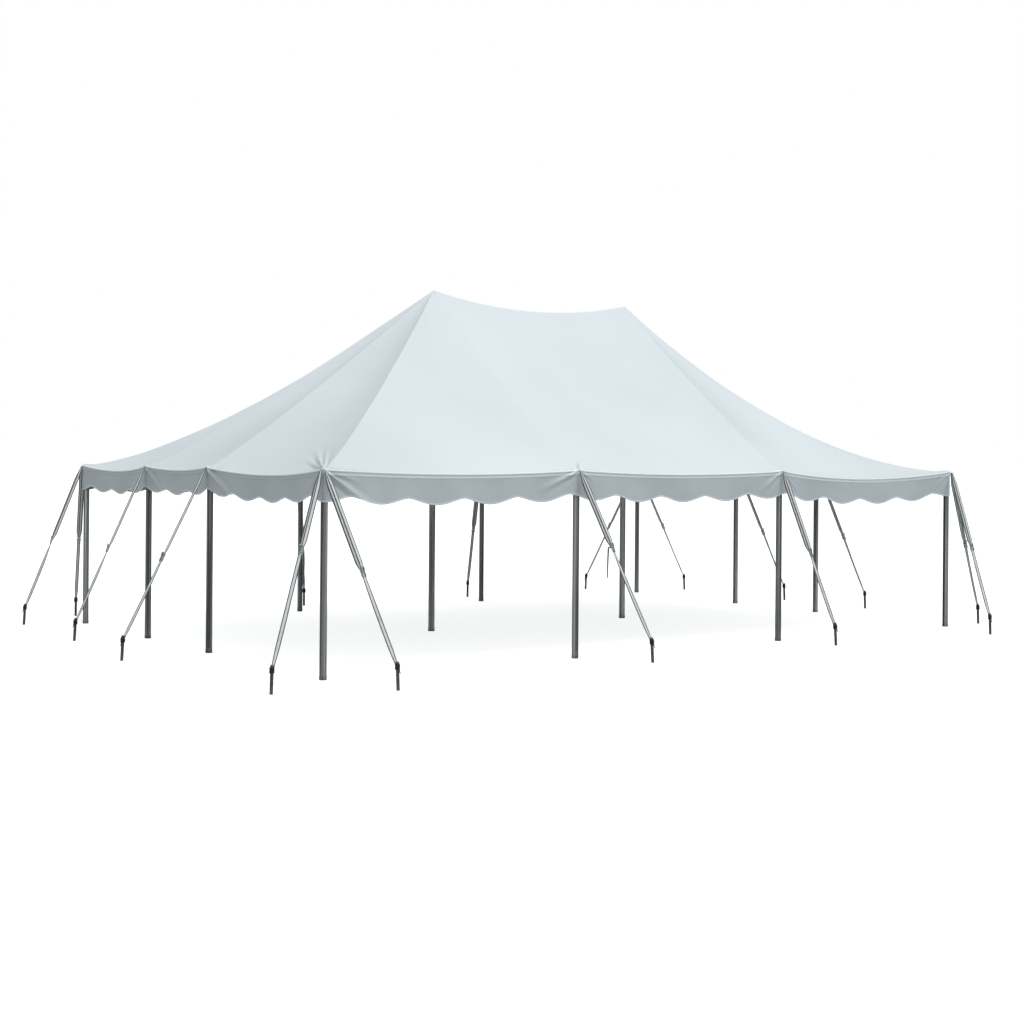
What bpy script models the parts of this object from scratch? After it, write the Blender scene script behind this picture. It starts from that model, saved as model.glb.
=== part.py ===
# Pole marquee tent, 3 bays by 3 bays, with two centre poles and a hipped membrane roof.
# Metres, +Z up. The origin is on the ground under the middle of the tent.
# X runs along the long sides (front at -Y), Y across the ends.

import math
from collections import namedtuple

import bmesh
import bpy
from mathutils import Matrix, Vector

# Plan of the pole axes. The bays of the ends differ: the front and back ones of the left end are given,
# and the two corner ones of the right end, which are alike.
LENGTH = 9.14
WIDTH = 6.10
SIDE_BAYS = 3
RIDGE_LENGTH = LENGTH / SIDE_BAYS
RIDGE_SHIFT = 0.17
LEFT_FRONT_BAY = 2.50
LEFT_BACK_BAY = 1.96
RIGHT_CORNER_BAY = 2.25

# Heights
EAVE_HEIGHT = 2.00
PEAK_HEIGHT = 4.18

# Gap between neighbouring pieces
FIT = 0.0003

# Roof membrane
ROOF_THICKNESS = 0.006
EAVE_OVERHANG = 0.045
SIDE_EAVE_SAGS = (0.042, 0.040, 0.092)
END_EAVE_SAGS = (0.062, 0.036, 0.066)
EAVE_BOW_SHARE = 0.80
CORNER_PATCH = 0.10
RIDGE_SAG = 0.166
BAY_DIP = 0.05
SEAM_SHIFT = 0.00022
BRIM = 0.03
BAY_COLUMNS = 6
ROOF_ROWS = 9
ROW_SPREAD = 1.25
MERGE = 0.0001

# How far the roof's line from each pole up to its peak hangs below a straight one, which is 1,
# from left to right as seen from outside
FRONT_ROOF_CURVES = (1.18, 1.12, 1.10, 1.79)
RIGHT_ROOF_CURVES = (1.79, 1.35, 1.35, 1.72)
BACK_ROOF_CURVES = (1.72, 1.10, 1.12, 1.45)
LEFT_ROOF_CURVES = (1.45, 1.10, 1.08, 1.18)

# Valance
VALANCE_THICKNESS = 0.005
VALANCE_CUSP_DEPTH = 0.245
VALANCE_LOBE_DEPTH = 0.310
END_CUSP_DEPTH = 0.230
END_LOBE_DEPTH = 0.280
LOBE_ROUNDNESS = 0.72
SIDE_LOBES = 14
END_LOBES = 11
LOBE_COLUMNS = 6
CLOSE_COLUMNS = 0.012

# Side poles
POLE_RADIUS = 0.035
POLE_CAP_RADIUS = 0.037
POLE_CAP_HEIGHT = 0.040
POLE_PLUG_RADIUS = 0.026
POLE_PLUG_HEIGHT = 0.030
POLE_EDGE = 0.003
ROUND_STEPS = 16
FEW_STEPS = 12

# Centre poles
CENTRE_POLE_RADIUS = 0.038
CENTRE_CAP_RADIUS = 0.041
CENTRE_TOP_RADIUS = 0.016
CENTRE_TIP_RADIUS = 0.003
CENTRE_TAPER = 0.075
CENTRE_LEFT_CLEARANCE = 0.0029
CENTRE_RIGHT_CLEARANCE = 0.0041

# Guys of each side, one at each pole: degrees turned from straight out, anticlockwise from above,
# and reach on the ground. The back repeats the front.
FRONT_GUYS = ((15, 0.94), (35, 0.80), (20, 0.67), (-20, 0.92))
LEFT_GUYS = ((36, 0.95), (8, 0.99), (-14, 0.77), (-20, 0.68))
RIGHT_GUYS = ((0, 0.61), (0, 0.985), (0, 0.985), (0, 0.985))
GUY_FROM_CORNER = 0.036
LOOSE_ENDS = ("front_2", "left_1")

# Guy straps
STRAP_WIDTH = 0.045
STRAP_THICKNESS = 0.006
STRAP_DOUBLE_THICKNESS = 0.014
RING_RADIUS = 0.009
RING_LENGTH = 0.060
RATCHET_PLACE = 0.53
HIGH_RATCHETS = {"front_2": 0.455, "left_1": 0.415}
RATCHET_SIZE = (0.046, 0.070, 0.130)
RATCHET_EDGE = 0.008
KNOT_RADIUS = 0.025
KNOT_HEIGHT = 0.045
LOOSE_END_LENGTH = 0.30
LOOSE_END_OFFSET = 0.014

# Stakes
STAKE_RADIUS = 0.016
STAKE_HEIGHT = 0.260
STAKE_LEAN = math.radians(3)
STAKE_EDGE = 0.004
KNOT_CENTRE_HEIGHT = 0.215

HALF_X = LENGTH / 2 + EAVE_OVERHANG
HALF_Y = WIDTH / 2 + EAVE_OVERHANG
LEFT_PEAK = RIDGE_SHIFT - RIDGE_LENGTH / 2
RIGHT_PEAK = RIDGE_SHIFT + RIDGE_LENGTH / 2
RISE = PEAK_HEIGHT - EAVE_HEIGHT
SIDE_POLES = [-LENGTH / 2 + LENGTH * i / SIDE_BAYS for i in range(SIDE_BAYS + 1)]
LEFT_POLES = [-WIDTH / 2, LEFT_FRONT_BAY - WIDTH / 2, WIDTH / 2 - LEFT_BACK_BAY, WIDTH / 2]
RIGHT_POLES = [-WIDTH / 2, RIGHT_CORNER_BAY - WIDTH / 2, WIDTH / 2 - RIGHT_CORNER_BAY, WIDTH / 2]


def start_scene():
    """Empty the scene and return the collections for the parts and the cutters."""
    for item in list(bpy.data.objects):
        bpy.data.objects.remove(item, do_unlink=True)
    made = []
    for name in ("marquee_tent", "cutters"):
        collection = bpy.data.collections.new(name)
        bpy.context.scene.collection.children.link(collection)
        made.append(collection)
    return made


PARTS, CUTTERS = start_scene()


def material(name, colour, roughness, metallic=0.0):
    """A Principled material of one colour."""
    result = bpy.data.materials.new(name)
    result.use_nodes = True
    shader = result.node_tree.nodes["Principled BSDF"]
    shader.inputs["Base Color"].default_value = (*colour, 1.0)
    shader.inputs["Roughness"].default_value = roughness
    shader.inputs["Metallic"].default_value = metallic
    return result


ROOF_VINYL = material("roof_vinyl", (0.74, 0.79, 0.82), 0.45)
VALANCE_VINYL = material("valance_vinyl", (0.60, 0.65, 0.67), 0.50)
POLE_STEEL = material("pole_steel", (0.10, 0.105, 0.105), 0.40, 0.6)
STRAP_WEBBING = material("strap_webbing", (0.66, 0.68, 0.68), 0.80)
STAKE_STEEL = material("stake_steel", (0.13, 0.13, 0.13), 0.50, 0.8)


def add_object(name, mesh, finish, collection=PARTS):
    """Place a mesh in the scene as a named object with its own finish."""
    item = bpy.data.objects.new(name, mesh)
    if not mesh.materials:
        mesh.materials.append(finish)
    collection.objects.link(item)
    return item


def mesh_from(bm, name):
    """Turn a bmesh into a mesh with outward normals."""
    bmesh.ops.recalc_face_normals(bm, faces=bm.faces)
    mesh = bpy.data.meshes.new(name)
    bm.to_mesh(mesh)
    bm.free()
    return mesh


# Membrane


# One side of the tent: its turn about Z, its pole places, its size along and across, how far its
# eave sags in each bay, where its roof ends at the top: the places along the ridge and the distance
# out from the middle, the curve of the roof at each pole, and the dip of the ridge. All go from left
# to right as seen from outside.
Side = namedtuple("Side", "name turn poles half_along half_across sags tops top_out curves ridge_sag")

# A place along a side: its bay, its fraction of the bay, how far into its sag the eave is there, from
# 0 at a pole to 1 in the middle of the bay, and how far it has dropped.
Column = namedtuple("Column", "place bay fraction hang drop")

SIDES = [
    Side("front", 0, SIDE_POLES, HALF_X, HALF_Y, SIDE_EAVE_SAGS, (LEFT_PEAK, RIGHT_PEAK), 0.0,
         FRONT_ROOF_CURVES, RIDGE_SAG),
    Side("right", 90, RIGHT_POLES, HALF_Y, HALF_X, END_EAVE_SAGS[::-1], (0.0, 0.0), RIGHT_PEAK,
         RIGHT_ROOF_CURVES, 0.0),
    Side("back", 180, SIDE_POLES, HALF_X, HALF_Y, SIDE_EAVE_SAGS[::-1], (-RIGHT_PEAK, -LEFT_PEAK), 0.0,
         BACK_ROOF_CURVES, RIDGE_SAG),
    Side("left", -90, [-y for y in reversed(LEFT_POLES)], HALF_Y, HALF_X, END_EAVE_SAGS, (0.0, 0.0),
         -LEFT_PEAK, LEFT_ROOF_CURVES, 0.0),
]


def turn_of(side):
    """The turn that carries a side from the front to its own place."""
    return Matrix.Rotation(math.radians(side.turn), 4, "Z")


def bay_columns(side):
    """The columns along one side of the roof.

    A straight stretch of CORNER_PATCH lies on each side of a pole, where the guy is held.
    """
    result = []
    last = len(side.poles) - 1
    for bay, sag in enumerate(side.sags):
        start = -side.half_along if bay == 0 else side.poles[bay]
        end = side.half_along if bay == last - 1 else side.poles[bay + 1]
        patch = CORNER_PATCH / (end - start)
        inner = [i / (BAY_COLUMNS - 2) for i in range(BAY_COLUMNS - 1)]
        shares = [(patch + (1 - 2 * patch) * share, 4 * share * (1 - share)) for share in inner]
        if bay == 0:
            shares = [(0.0, 0.0)] + shares
        for fraction, hang in shares + [(1.0, 0.0)]:
            result.append(Column(start + (end - start) * fraction, bay, fraction, hang, sag * hang))
    return result


def row_heights():
    """Rows of a roof panel, from 0 at the eave to 1 at the ridge, with a level brim first."""
    slope = [BRIM + (1 - BRIM) * (i / (ROOF_ROWS - 2)) ** ROW_SPREAD for i in range(ROOF_ROWS - 1)]
    return [0.0] + slope


def roof_point(side, column, height):
    """A point of the membrane's top, height running from 0 at the eave to 1 at the ridge.

    The level brim next to the eave rests on the side poles.
    The result is (along the eave, outwards from the middle of the tent, z).
    """
    across_ridge = (0.0, column.fraction, 1.0)[column.bay]
    top_along = side.tops[0] + (side.tops[1] - side.tops[0]) * across_ridge
    curve = side.curves[column.bay]
    curve += (side.curves[column.bay + 1] - curve) * column.fraction
    along = column.place + (top_along - column.place) * height
    bow = EAVE_BOW_SHARE * column.drop * (1 - height) ** 4
    out = side.half_across + (side.top_out - side.half_across) * height - bow
    z = EAVE_HEIGHT + RISE * (max(height - BRIM, 0.0) / (1 - BRIM)) ** curve
    z -= column.drop * (1 - height) ** 2
    z -= BAY_DIP * column.hang * 4 * height * (1 - height)
    z -= side.ridge_sag * 4 * across_ridge * (1 - across_ridge) * height ** 2
    return along, out, z


def mapped_grid(columns, rows, place_vertex):
    """A grid whose vertices go where place_vertex(column index, row index) says."""
    bm = bmesh.new()
    bmesh.ops.create_grid(bm, x_segments=columns - 1, y_segments=rows - 1, size=0.5)
    for vertex in bm.verts:
        i = round((vertex.co.x + 0.5) * (columns - 1))
        j = round((vertex.co.y + 0.5) * (rows - 1))
        vertex.co = place_vertex(i, j)
    bmesh.ops.remove_doubles(bm, verts=bm.verts, dist=MERGE)
    return bm


def thicken(bm, offset):
    """Give an open sheet its thickness by extruding all of it by an offset."""
    grown = bmesh.ops.extrude_face_region(bm, geom=bm.faces[:], use_keep_orig=True)
    verts = [item for item in grown["geom"] if isinstance(item, bmesh.types.BMVert)]
    bmesh.ops.translate(bm, verts=verts, vec=offset)


def roof_panel(side):
    """One side of the roof, from its eave up to the ridge or the peak, as a thin solid."""
    name = f"roof_{side.name}"
    turn = turn_of(side)
    columns = bay_columns(side)
    rows = row_heights()

    def place_vertex(i, j):
        along, out, z = roof_point(side, columns[i], rows[j])
        return turn @ Vector((along, -out - SEAM_SHIFT, z))

    bm = mapped_grid(len(columns), len(rows), place_vertex)
    thicken(bm, Vector((0, 0, -ROOF_THICKNESS)))
    return add_object(name, mesh_from(bm, name), ROOF_VINYL)


def scallop(place, half_along, lobes, is_end):
    """Depth of the valance at a place along it: round lobes with soft hollows between.

    The middle of a lobe comes at each end. The ends of the tent have a shallower valance, which
    reaches the depth of the others at its corner lobes.
    """
    phase = (place + half_along) / (2 * half_along) * lobes
    wave = (math.cos(math.pi * phase) ** 2) ** LOBE_ROUNDNESS
    inner = min((half_along - abs(place)) * lobes / half_along, 1.0) if is_end else 0.0
    cusp = VALANCE_CUSP_DEPTH + (END_CUSP_DEPTH - VALANCE_CUSP_DEPTH) * inner
    lobe = VALANCE_LOBE_DEPTH + (END_LOBE_DEPTH - VALANCE_LOBE_DEPTH) * inner
    return cusp + (lobe - cusp) * wave


def valance_places(columns, half_along, lobes):
    """Places along a valance: those of the roof's eave, and LOBE_COLUMNS to each lobe."""
    eave = [column.place for column in columns]
    count = lobes * LOBE_COLUMNS
    waves = [-half_along + 2 * half_along * i / count for i in range(1, count)]
    spare = [place for place in waves if min(abs(place - other) for other in eave) > CLOSE_COLUMNS]
    return sorted(eave + spare)


def eave_drop(place, columns):
    """How far the eave has dropped at any place along it, straight between the columns."""
    left = max((column for column in columns if column.place <= place), key=lambda column: column.place)
    right = min((column for column in columns if column.place >= place), key=lambda column: column.place)
    if right.place == left.place:
        return left.drop
    return left.drop + (right.drop - left.drop) * (place - left.place) / (right.place - left.place)


def valance(side):
    """The scalloped band that hangs from one side of the eave. Those of the ends stop inside the others."""
    name = f"valance_{side.name}"
    turn = turn_of(side)
    is_end = side.name in ("left", "right")
    lobes = END_LOBES if is_end else SIDE_LOBES
    limit = side.half_along - (VALANCE_THICKNESS + FIT if is_end else 0.0)
    columns = bay_columns(side)
    places = valance_places(columns, side.half_along, lobes)

    def place_vertex(i, j):
        place = places[i]
        drop = eave_drop(place, columns)
        top = EAVE_HEIGHT - drop - ROOF_THICKNESS - 2 * FIT
        z = top if j else top - scallop(place, side.half_along, lobes, is_end)
        along = min(max(place, -limit), limit)
        return turn @ Vector((along, -(side.half_across - EAVE_BOW_SHARE * drop), z))

    bm = mapped_grid(len(places), 2, place_vertex)
    thicken(bm, turn.to_3x3() @ Vector((0, VALANCE_THICKNESS, 0)))
    return add_object(name, mesh_from(bm, name), VALANCE_VINYL)


for tent_side in SIDES:
    roof_panel(tent_side)
    valance(tent_side)


# Poles


def turned_mesh(name, profile):
    """A profile of (radius, z), run from the top down the outside."""
    mesh = bpy.data.meshes.new(name)
    edges = [(i, i + 1) for i in range(len(profile) - 1)]
    mesh.from_pydata([(radius, 0, z) for radius, z in profile], edges, [])
    return mesh


def add_turned(name, mesh, finish, location):
    """A turned piece: its profile spun round the vertical."""
    item = add_object(name, mesh, finish)
    item.location = location
    screw = item.modifiers.new("turn", "SCREW")
    screw.steps = ROUND_STEPS
    screw.render_steps = ROUND_STEPS
    screw.use_merge_vertices = True
    screw.merge_threshold = MERGE
    screw.use_smooth_shade = True
    return item


POLE_TOP = EAVE_HEIGHT - ROOF_THICKNESS - FIT
SIDE_POLE_MESH = turned_mesh("side_pole", [
    (0.0, POLE_TOP),
    (POLE_PLUG_RADIUS, POLE_TOP),
    (POLE_RADIUS, POLE_TOP - POLE_PLUG_HEIGHT),
    (POLE_RADIUS, POLE_CAP_HEIGHT),
    (POLE_CAP_RADIUS, POLE_CAP_HEIGHT - POLE_EDGE),
    (POLE_CAP_RADIUS, 0.0),
    (0.0, 0.0),
])


def centre_pole_mesh(clearance):
    """The outline of a centre pole whose tip stops a clearance below the underside of its peak."""
    top = PEAK_HEIGHT - ROOF_THICKNESS - clearance
    return turned_mesh("centre_pole", [
        (0.0, top),
        (CENTRE_TIP_RADIUS, top),
        (CENTRE_TOP_RADIUS, top - CENTRE_TAPER / 2),
        (CENTRE_TOP_RADIUS, top - 2 * CENTRE_TAPER),
        (CENTRE_POLE_RADIUS, top - 3 * CENTRE_TAPER),
        (CENTRE_POLE_RADIUS, POLE_CAP_HEIGHT),
        (CENTRE_CAP_RADIUS, POLE_CAP_HEIGHT - POLE_EDGE),
        (CENTRE_CAP_RADIUS, 0.0),
        (0.0, 0.0),
    ])


def perimeter():
    """Each side pole once: (name, x, y)."""
    places = []
    for row, y in (("front", -WIDTH / 2), ("back", WIDTH / 2)):
        for number, x in enumerate(SIDE_POLES, start=1):
            places.append((f"{row}_{number}", x, y))
    for row, x, row_poles in (("left", -LENGTH / 2, LEFT_POLES), ("right", LENGTH / 2, RIGHT_POLES)):
        for number, y in enumerate(row_poles[1:-1], start=2):
            places.append((f"{row}_{number}", x, y))
    return places


for label, x, y in perimeter():
    add_turned(f"pole_{label}", SIDE_POLE_MESH, POLE_STEEL, (x, y, 0))

CENTRE_POLES = (("left", LEFT_PEAK, CENTRE_LEFT_CLEARANCE), ("right", RIGHT_PEAK, CENTRE_RIGHT_CLEARANCE))
for label, x, clearance in CENTRE_POLES:
    add_turned(f"centre_pole_{label}", centre_pole_mesh(clearance), POLE_STEEL, (x, 0, 0))


# Guys and stakes, drawn in a local frame: X outwards from the eave, Z up from the ground


def box_mesh(name, centre, size, lean, edge=0.0):
    """A block leaning about Y, with its edges rounded by one flat if edge is given."""
    bm = bmesh.new()
    bmesh.ops.create_cube(bm, size=1.0)
    bmesh.ops.scale(bm, verts=bm.verts, vec=Vector(size))
    if edge:
        bmesh.ops.bevel(bm, geom=bm.edges[:], offset=edge, segments=1, affect="EDGES")
    bmesh.ops.transform(bm, verts=bm.verts, matrix=Matrix.Translation(centre) @ Matrix.Rotation(lean, 4, "Y"))
    return mesh_from(bm, name)


def rod_mesh(name, centre, radius, length, turn):
    """A round bar about its middle, along Z before it is turned."""
    bm = bmesh.new()
    bmesh.ops.create_cone(bm, cap_ends=True, segments=FEW_STEPS, radius1=radius, radius2=radius, depth=length)
    bmesh.ops.transform(bm, verts=bm.verts, matrix=Matrix.Translation(centre) @ turn)
    return mesh_from(bm, name)


def combine(name, base, others, operation):
    """Join or cut solids one after another and return the resulting mesh."""
    item = add_object(name, base, STRAP_WEBBING, CUTTERS)
    helpers = []
    for number, mesh in enumerate(others):
        helper = add_object(f"{name}_{operation}_{number}", mesh, STRAP_WEBBING, CUTTERS)
        helper.hide_render = True
        helper.display_type = "WIRE"
        helpers.append(helper)
        boolean = item.modifiers.new(f"step_{number}", "BOOLEAN")
        boolean.operation = operation
        boolean.object = helper
    bpy.context.view_layer.update()
    evaluated = item.evaluated_get(bpy.context.evaluated_depsgraph_get())
    result = bpy.data.meshes.new_from_object(evaluated)
    for used in [item] + helpers:
        bpy.data.objects.remove(used, do_unlink=True)
    return result


STAKE_TURN = Matrix.Rotation(-STAKE_LEAN, 4, "Y")
GUY_TOP = Vector((0.0, 0.0, EAVE_HEIGHT - ROOF_THICKNESS / 2))


def guy_mesh(reach, ratchet_place, loose_end):
    """The ring bar at the eave, the doubled strap, the ratchet, the single strap and its loop.

    The ratchet is at a share of the way down, and a loose end hangs from it where loose_end is true.
    """
    end = Vector((reach - math.tan(STAKE_LEAN) * KNOT_CENTRE_HEIGHT, 0.0, KNOT_CENTRE_HEIGHT))
    run = end - GUY_TOP
    lean = math.atan2(-run.x, -run.z)
    middle = GUY_TOP + run * ratchet_place
    upper = box_mesh("upper", (GUY_TOP + middle) / 2,
                     (STRAP_DOUBLE_THICKNESS, STRAP_WIDTH, (middle - GUY_TOP).length), lean)
    lower = box_mesh("lower", (middle + end) / 2,
                     (STRAP_THICKNESS, STRAP_WIDTH, (end - middle).length), lean)
    ratchet = box_mesh("ratchet", middle, RATCHET_SIZE, lean, RATCHET_EDGE)
    ring = rod_mesh("ring", GUY_TOP, RING_RADIUS, RING_LENGTH, Matrix.Rotation(math.pi / 2, 4, "X"))
    knot = rod_mesh("knot", end, KNOT_RADIUS, KNOT_HEIGHT, STAKE_TURN)
    added = [lower, ratchet, ring, knot]
    if loose_end:
        centre = middle - Vector((LOOSE_END_OFFSET, 0.0, LOOSE_END_LENGTH / 2))
        added.append(box_mesh("loose_end", centre, (STRAP_THICKNESS, STRAP_WIDTH, LOOSE_END_LENGTH), 0.0))
    hole = rod_mesh("hole", end, STAKE_RADIUS + FIT, 2 * KNOT_CENTRE_HEIGHT, STAKE_TURN)
    joined = combine("guy_joined", upper, added, "UNION")
    return combine("guy_cut", joined, [hole], "DIFFERENCE")


def stake_mesh():
    """A leaning round stake, cut level with the ground, with its top edge taken off."""
    bm = bmesh.new()
    length = STAKE_HEIGHT / math.cos(STAKE_LEAN)
    bmesh.ops.create_cone(bm, cap_ends=True, segments=FEW_STEPS, radius1=STAKE_RADIUS,
                          radius2=STAKE_RADIUS, depth=2 * length)
    top = [edge for edge in bm.edges if all(vertex.co.z > 0 for vertex in edge.verts)]
    bmesh.ops.bevel(bm, geom=top, offset=STAKE_EDGE, segments=1, affect="EDGES")
    bmesh.ops.transform(bm, verts=bm.verts, matrix=STAKE_TURN)
    cut = bmesh.ops.bisect_plane(bm, geom=bm.verts[:] + bm.edges[:] + bm.faces[:],
                                 plane_co=(0, 0, 0), plane_no=(0, 0, 1), clear_inner=True)
    rim = [item for item in cut["geom_cut"] if isinstance(item, bmesh.types.BMEdge)]
    bmesh.ops.contextual_create(bm, geom=rim)
    return mesh_from(bm, "stake")


STAKE_MESH = stake_mesh()


def guy_places():
    """Each guy once: (label, x and y of its start on the eave edge, outward angle, turn, reach)."""
    places = []
    for row, y_sign in (("front", -1), ("back", 1)):
        outward = math.pi / 2 * y_sign
        for number, (x, (degrees, reach)) in enumerate(zip(SIDE_POLES, FRONT_GUYS), start=1):
            corner = number in (1, len(SIDE_POLES))
            start = math.copysign(HALF_X - GUY_FROM_CORNER, x) if corner else x
            turned = -y_sign * math.radians(degrees)
            places.append((f"{row}_{number}", start, y_sign * HALF_Y, outward, turned, reach))
    ends = (("left", -1, LEFT_POLES, LEFT_GUYS), ("right", 1, RIGHT_POLES, RIGHT_GUYS))
    for row, x_sign, row_poles, aims in ends:
        outward = 0.0 if x_sign > 0 else math.pi
        for number, (y, (degrees, reach)) in enumerate(zip(row_poles, aims), start=1):
            corner = number in (1, len(row_poles))
            start = math.copysign(HALF_Y - GUY_FROM_CORNER, y) if corner else y
            places.append((f"{row}_{number}", x_sign * HALF_X, start, outward, math.radians(degrees), reach))
    return places


for label, x, y, outward, turned, reach in guy_places():
    stand_off = SEAM_SHIFT + FIT + RING_LENGTH / 2 * abs(math.sin(turned)) + RING_RADIUS * math.cos(turned)
    top = Vector((x + stand_off * math.cos(outward), y + stand_off * math.sin(outward), 0))
    facing = outward + turned
    ratchet_place = HIGH_RATCHETS.get(label, RATCHET_PLACE)
    guy = add_object(f"guy_{label}", guy_mesh(reach, ratchet_place, label in LOOSE_ENDS), STRAP_WEBBING)
    guy.location = top
    guy.rotation_euler = (0, 0, facing)
    stake = add_object(f"stake_{label}", STAKE_MESH, STAKE_STEEL)
    stake.location = top + Vector((reach * math.cos(facing), reach * math.sin(facing), 0))
    stake.rotation_euler = (0, 0, facing)
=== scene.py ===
"""Pole marquee tent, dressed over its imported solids.

Metres, +Z up. The ground is at z = 0 and the front of the tent faces -Y. The canopy is one
sewn membrane that hangs from two centre poles and is pulled out over twelve side poles by
sixteen ratchet straps, so it is shaped here as one curved sheet, with the creases that run
out from each pole head.
"""

from __future__ import annotations

import logging
import math
from collections.abc import Callable, Sequence
from dataclasses import dataclass
from enum import Enum

import bmesh
import bpy
from mathutils import Matrix, Vector, noise

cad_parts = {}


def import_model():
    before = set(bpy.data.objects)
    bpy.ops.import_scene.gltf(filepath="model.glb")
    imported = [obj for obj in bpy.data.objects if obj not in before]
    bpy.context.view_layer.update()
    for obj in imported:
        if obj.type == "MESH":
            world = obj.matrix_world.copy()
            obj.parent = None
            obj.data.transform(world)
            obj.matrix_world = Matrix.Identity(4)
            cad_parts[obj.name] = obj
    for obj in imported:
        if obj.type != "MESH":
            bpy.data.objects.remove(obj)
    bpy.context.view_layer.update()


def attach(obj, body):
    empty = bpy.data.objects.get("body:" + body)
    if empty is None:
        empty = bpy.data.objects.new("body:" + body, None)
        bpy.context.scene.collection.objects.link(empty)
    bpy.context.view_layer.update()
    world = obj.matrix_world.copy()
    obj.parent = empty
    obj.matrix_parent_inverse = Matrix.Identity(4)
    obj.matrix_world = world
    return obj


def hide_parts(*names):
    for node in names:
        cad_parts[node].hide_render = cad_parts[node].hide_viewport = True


LOG = logging.getLogger("marquee")
Colour = tuple[float, float, float]
ClothPoint = tuple[Vector, float, list[tuple[float, float]]]
Item = bpy.types.Object
Material = bpy.types.Material
Socket = bpy.types.NodeSocket
BODY = "root"
WAVE_SCALE = 0.314  # A Wave Texture's scale times the distance from crest to crest, in metres


# Plan of the tent


class Edge(Enum):
    """The four sides of the tent."""

    FRONT = "front"
    RIGHT = "right"
    BACK = "back"
    LEFT = "left"


class Slot(Enum):
    """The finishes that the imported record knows."""

    ROOF = "roof_vinyl"
    VALANCE = "valance_vinyl"
    POLE = "pole_steel"
    STRAP = "strap_webbing"
    STAKE = "stake_steel"


@dataclass(frozen=True)
class Fold:
    """A crease that runs out from a pole head.

    The angle is in degrees from the eave line, seen from outside: 90 runs straight up the
    roof and -90 straight down the valance.
    """

    angle: float
    length: float
    height: float
    width: float
    gathered: float = 0.09
    start_width: float = 0.45
    spread: float = 1.1
    fall: float = 1.3

    def lift(self, across: float, up: float) -> float:
        """How far the crease raises the cloth.

        Args:
            across: Distance along the eave from the pole head.
            up: Distance up the cloth from the pole head, negative down the valance.

        Returns:
            The rise, below zero in the troughs on both sides of the crease.
        """
        turn = math.radians(self.angle)
        run = across * math.cos(turn) + up * math.sin(turn)
        if not 0.0 < run < self.length:
            return 0.0
        share = run / self.length
        width = self.width * (self.start_width + self.spread * share)
        aside = (up * math.cos(turn) - across * math.sin(turn)) / width
        fade = min(1.0, share / self.gathered) * (1.0 - share) ** self.fall
        return self.height * fade * (1.0 - aside * aside) * math.exp(-0.5 * aside * aside)


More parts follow.
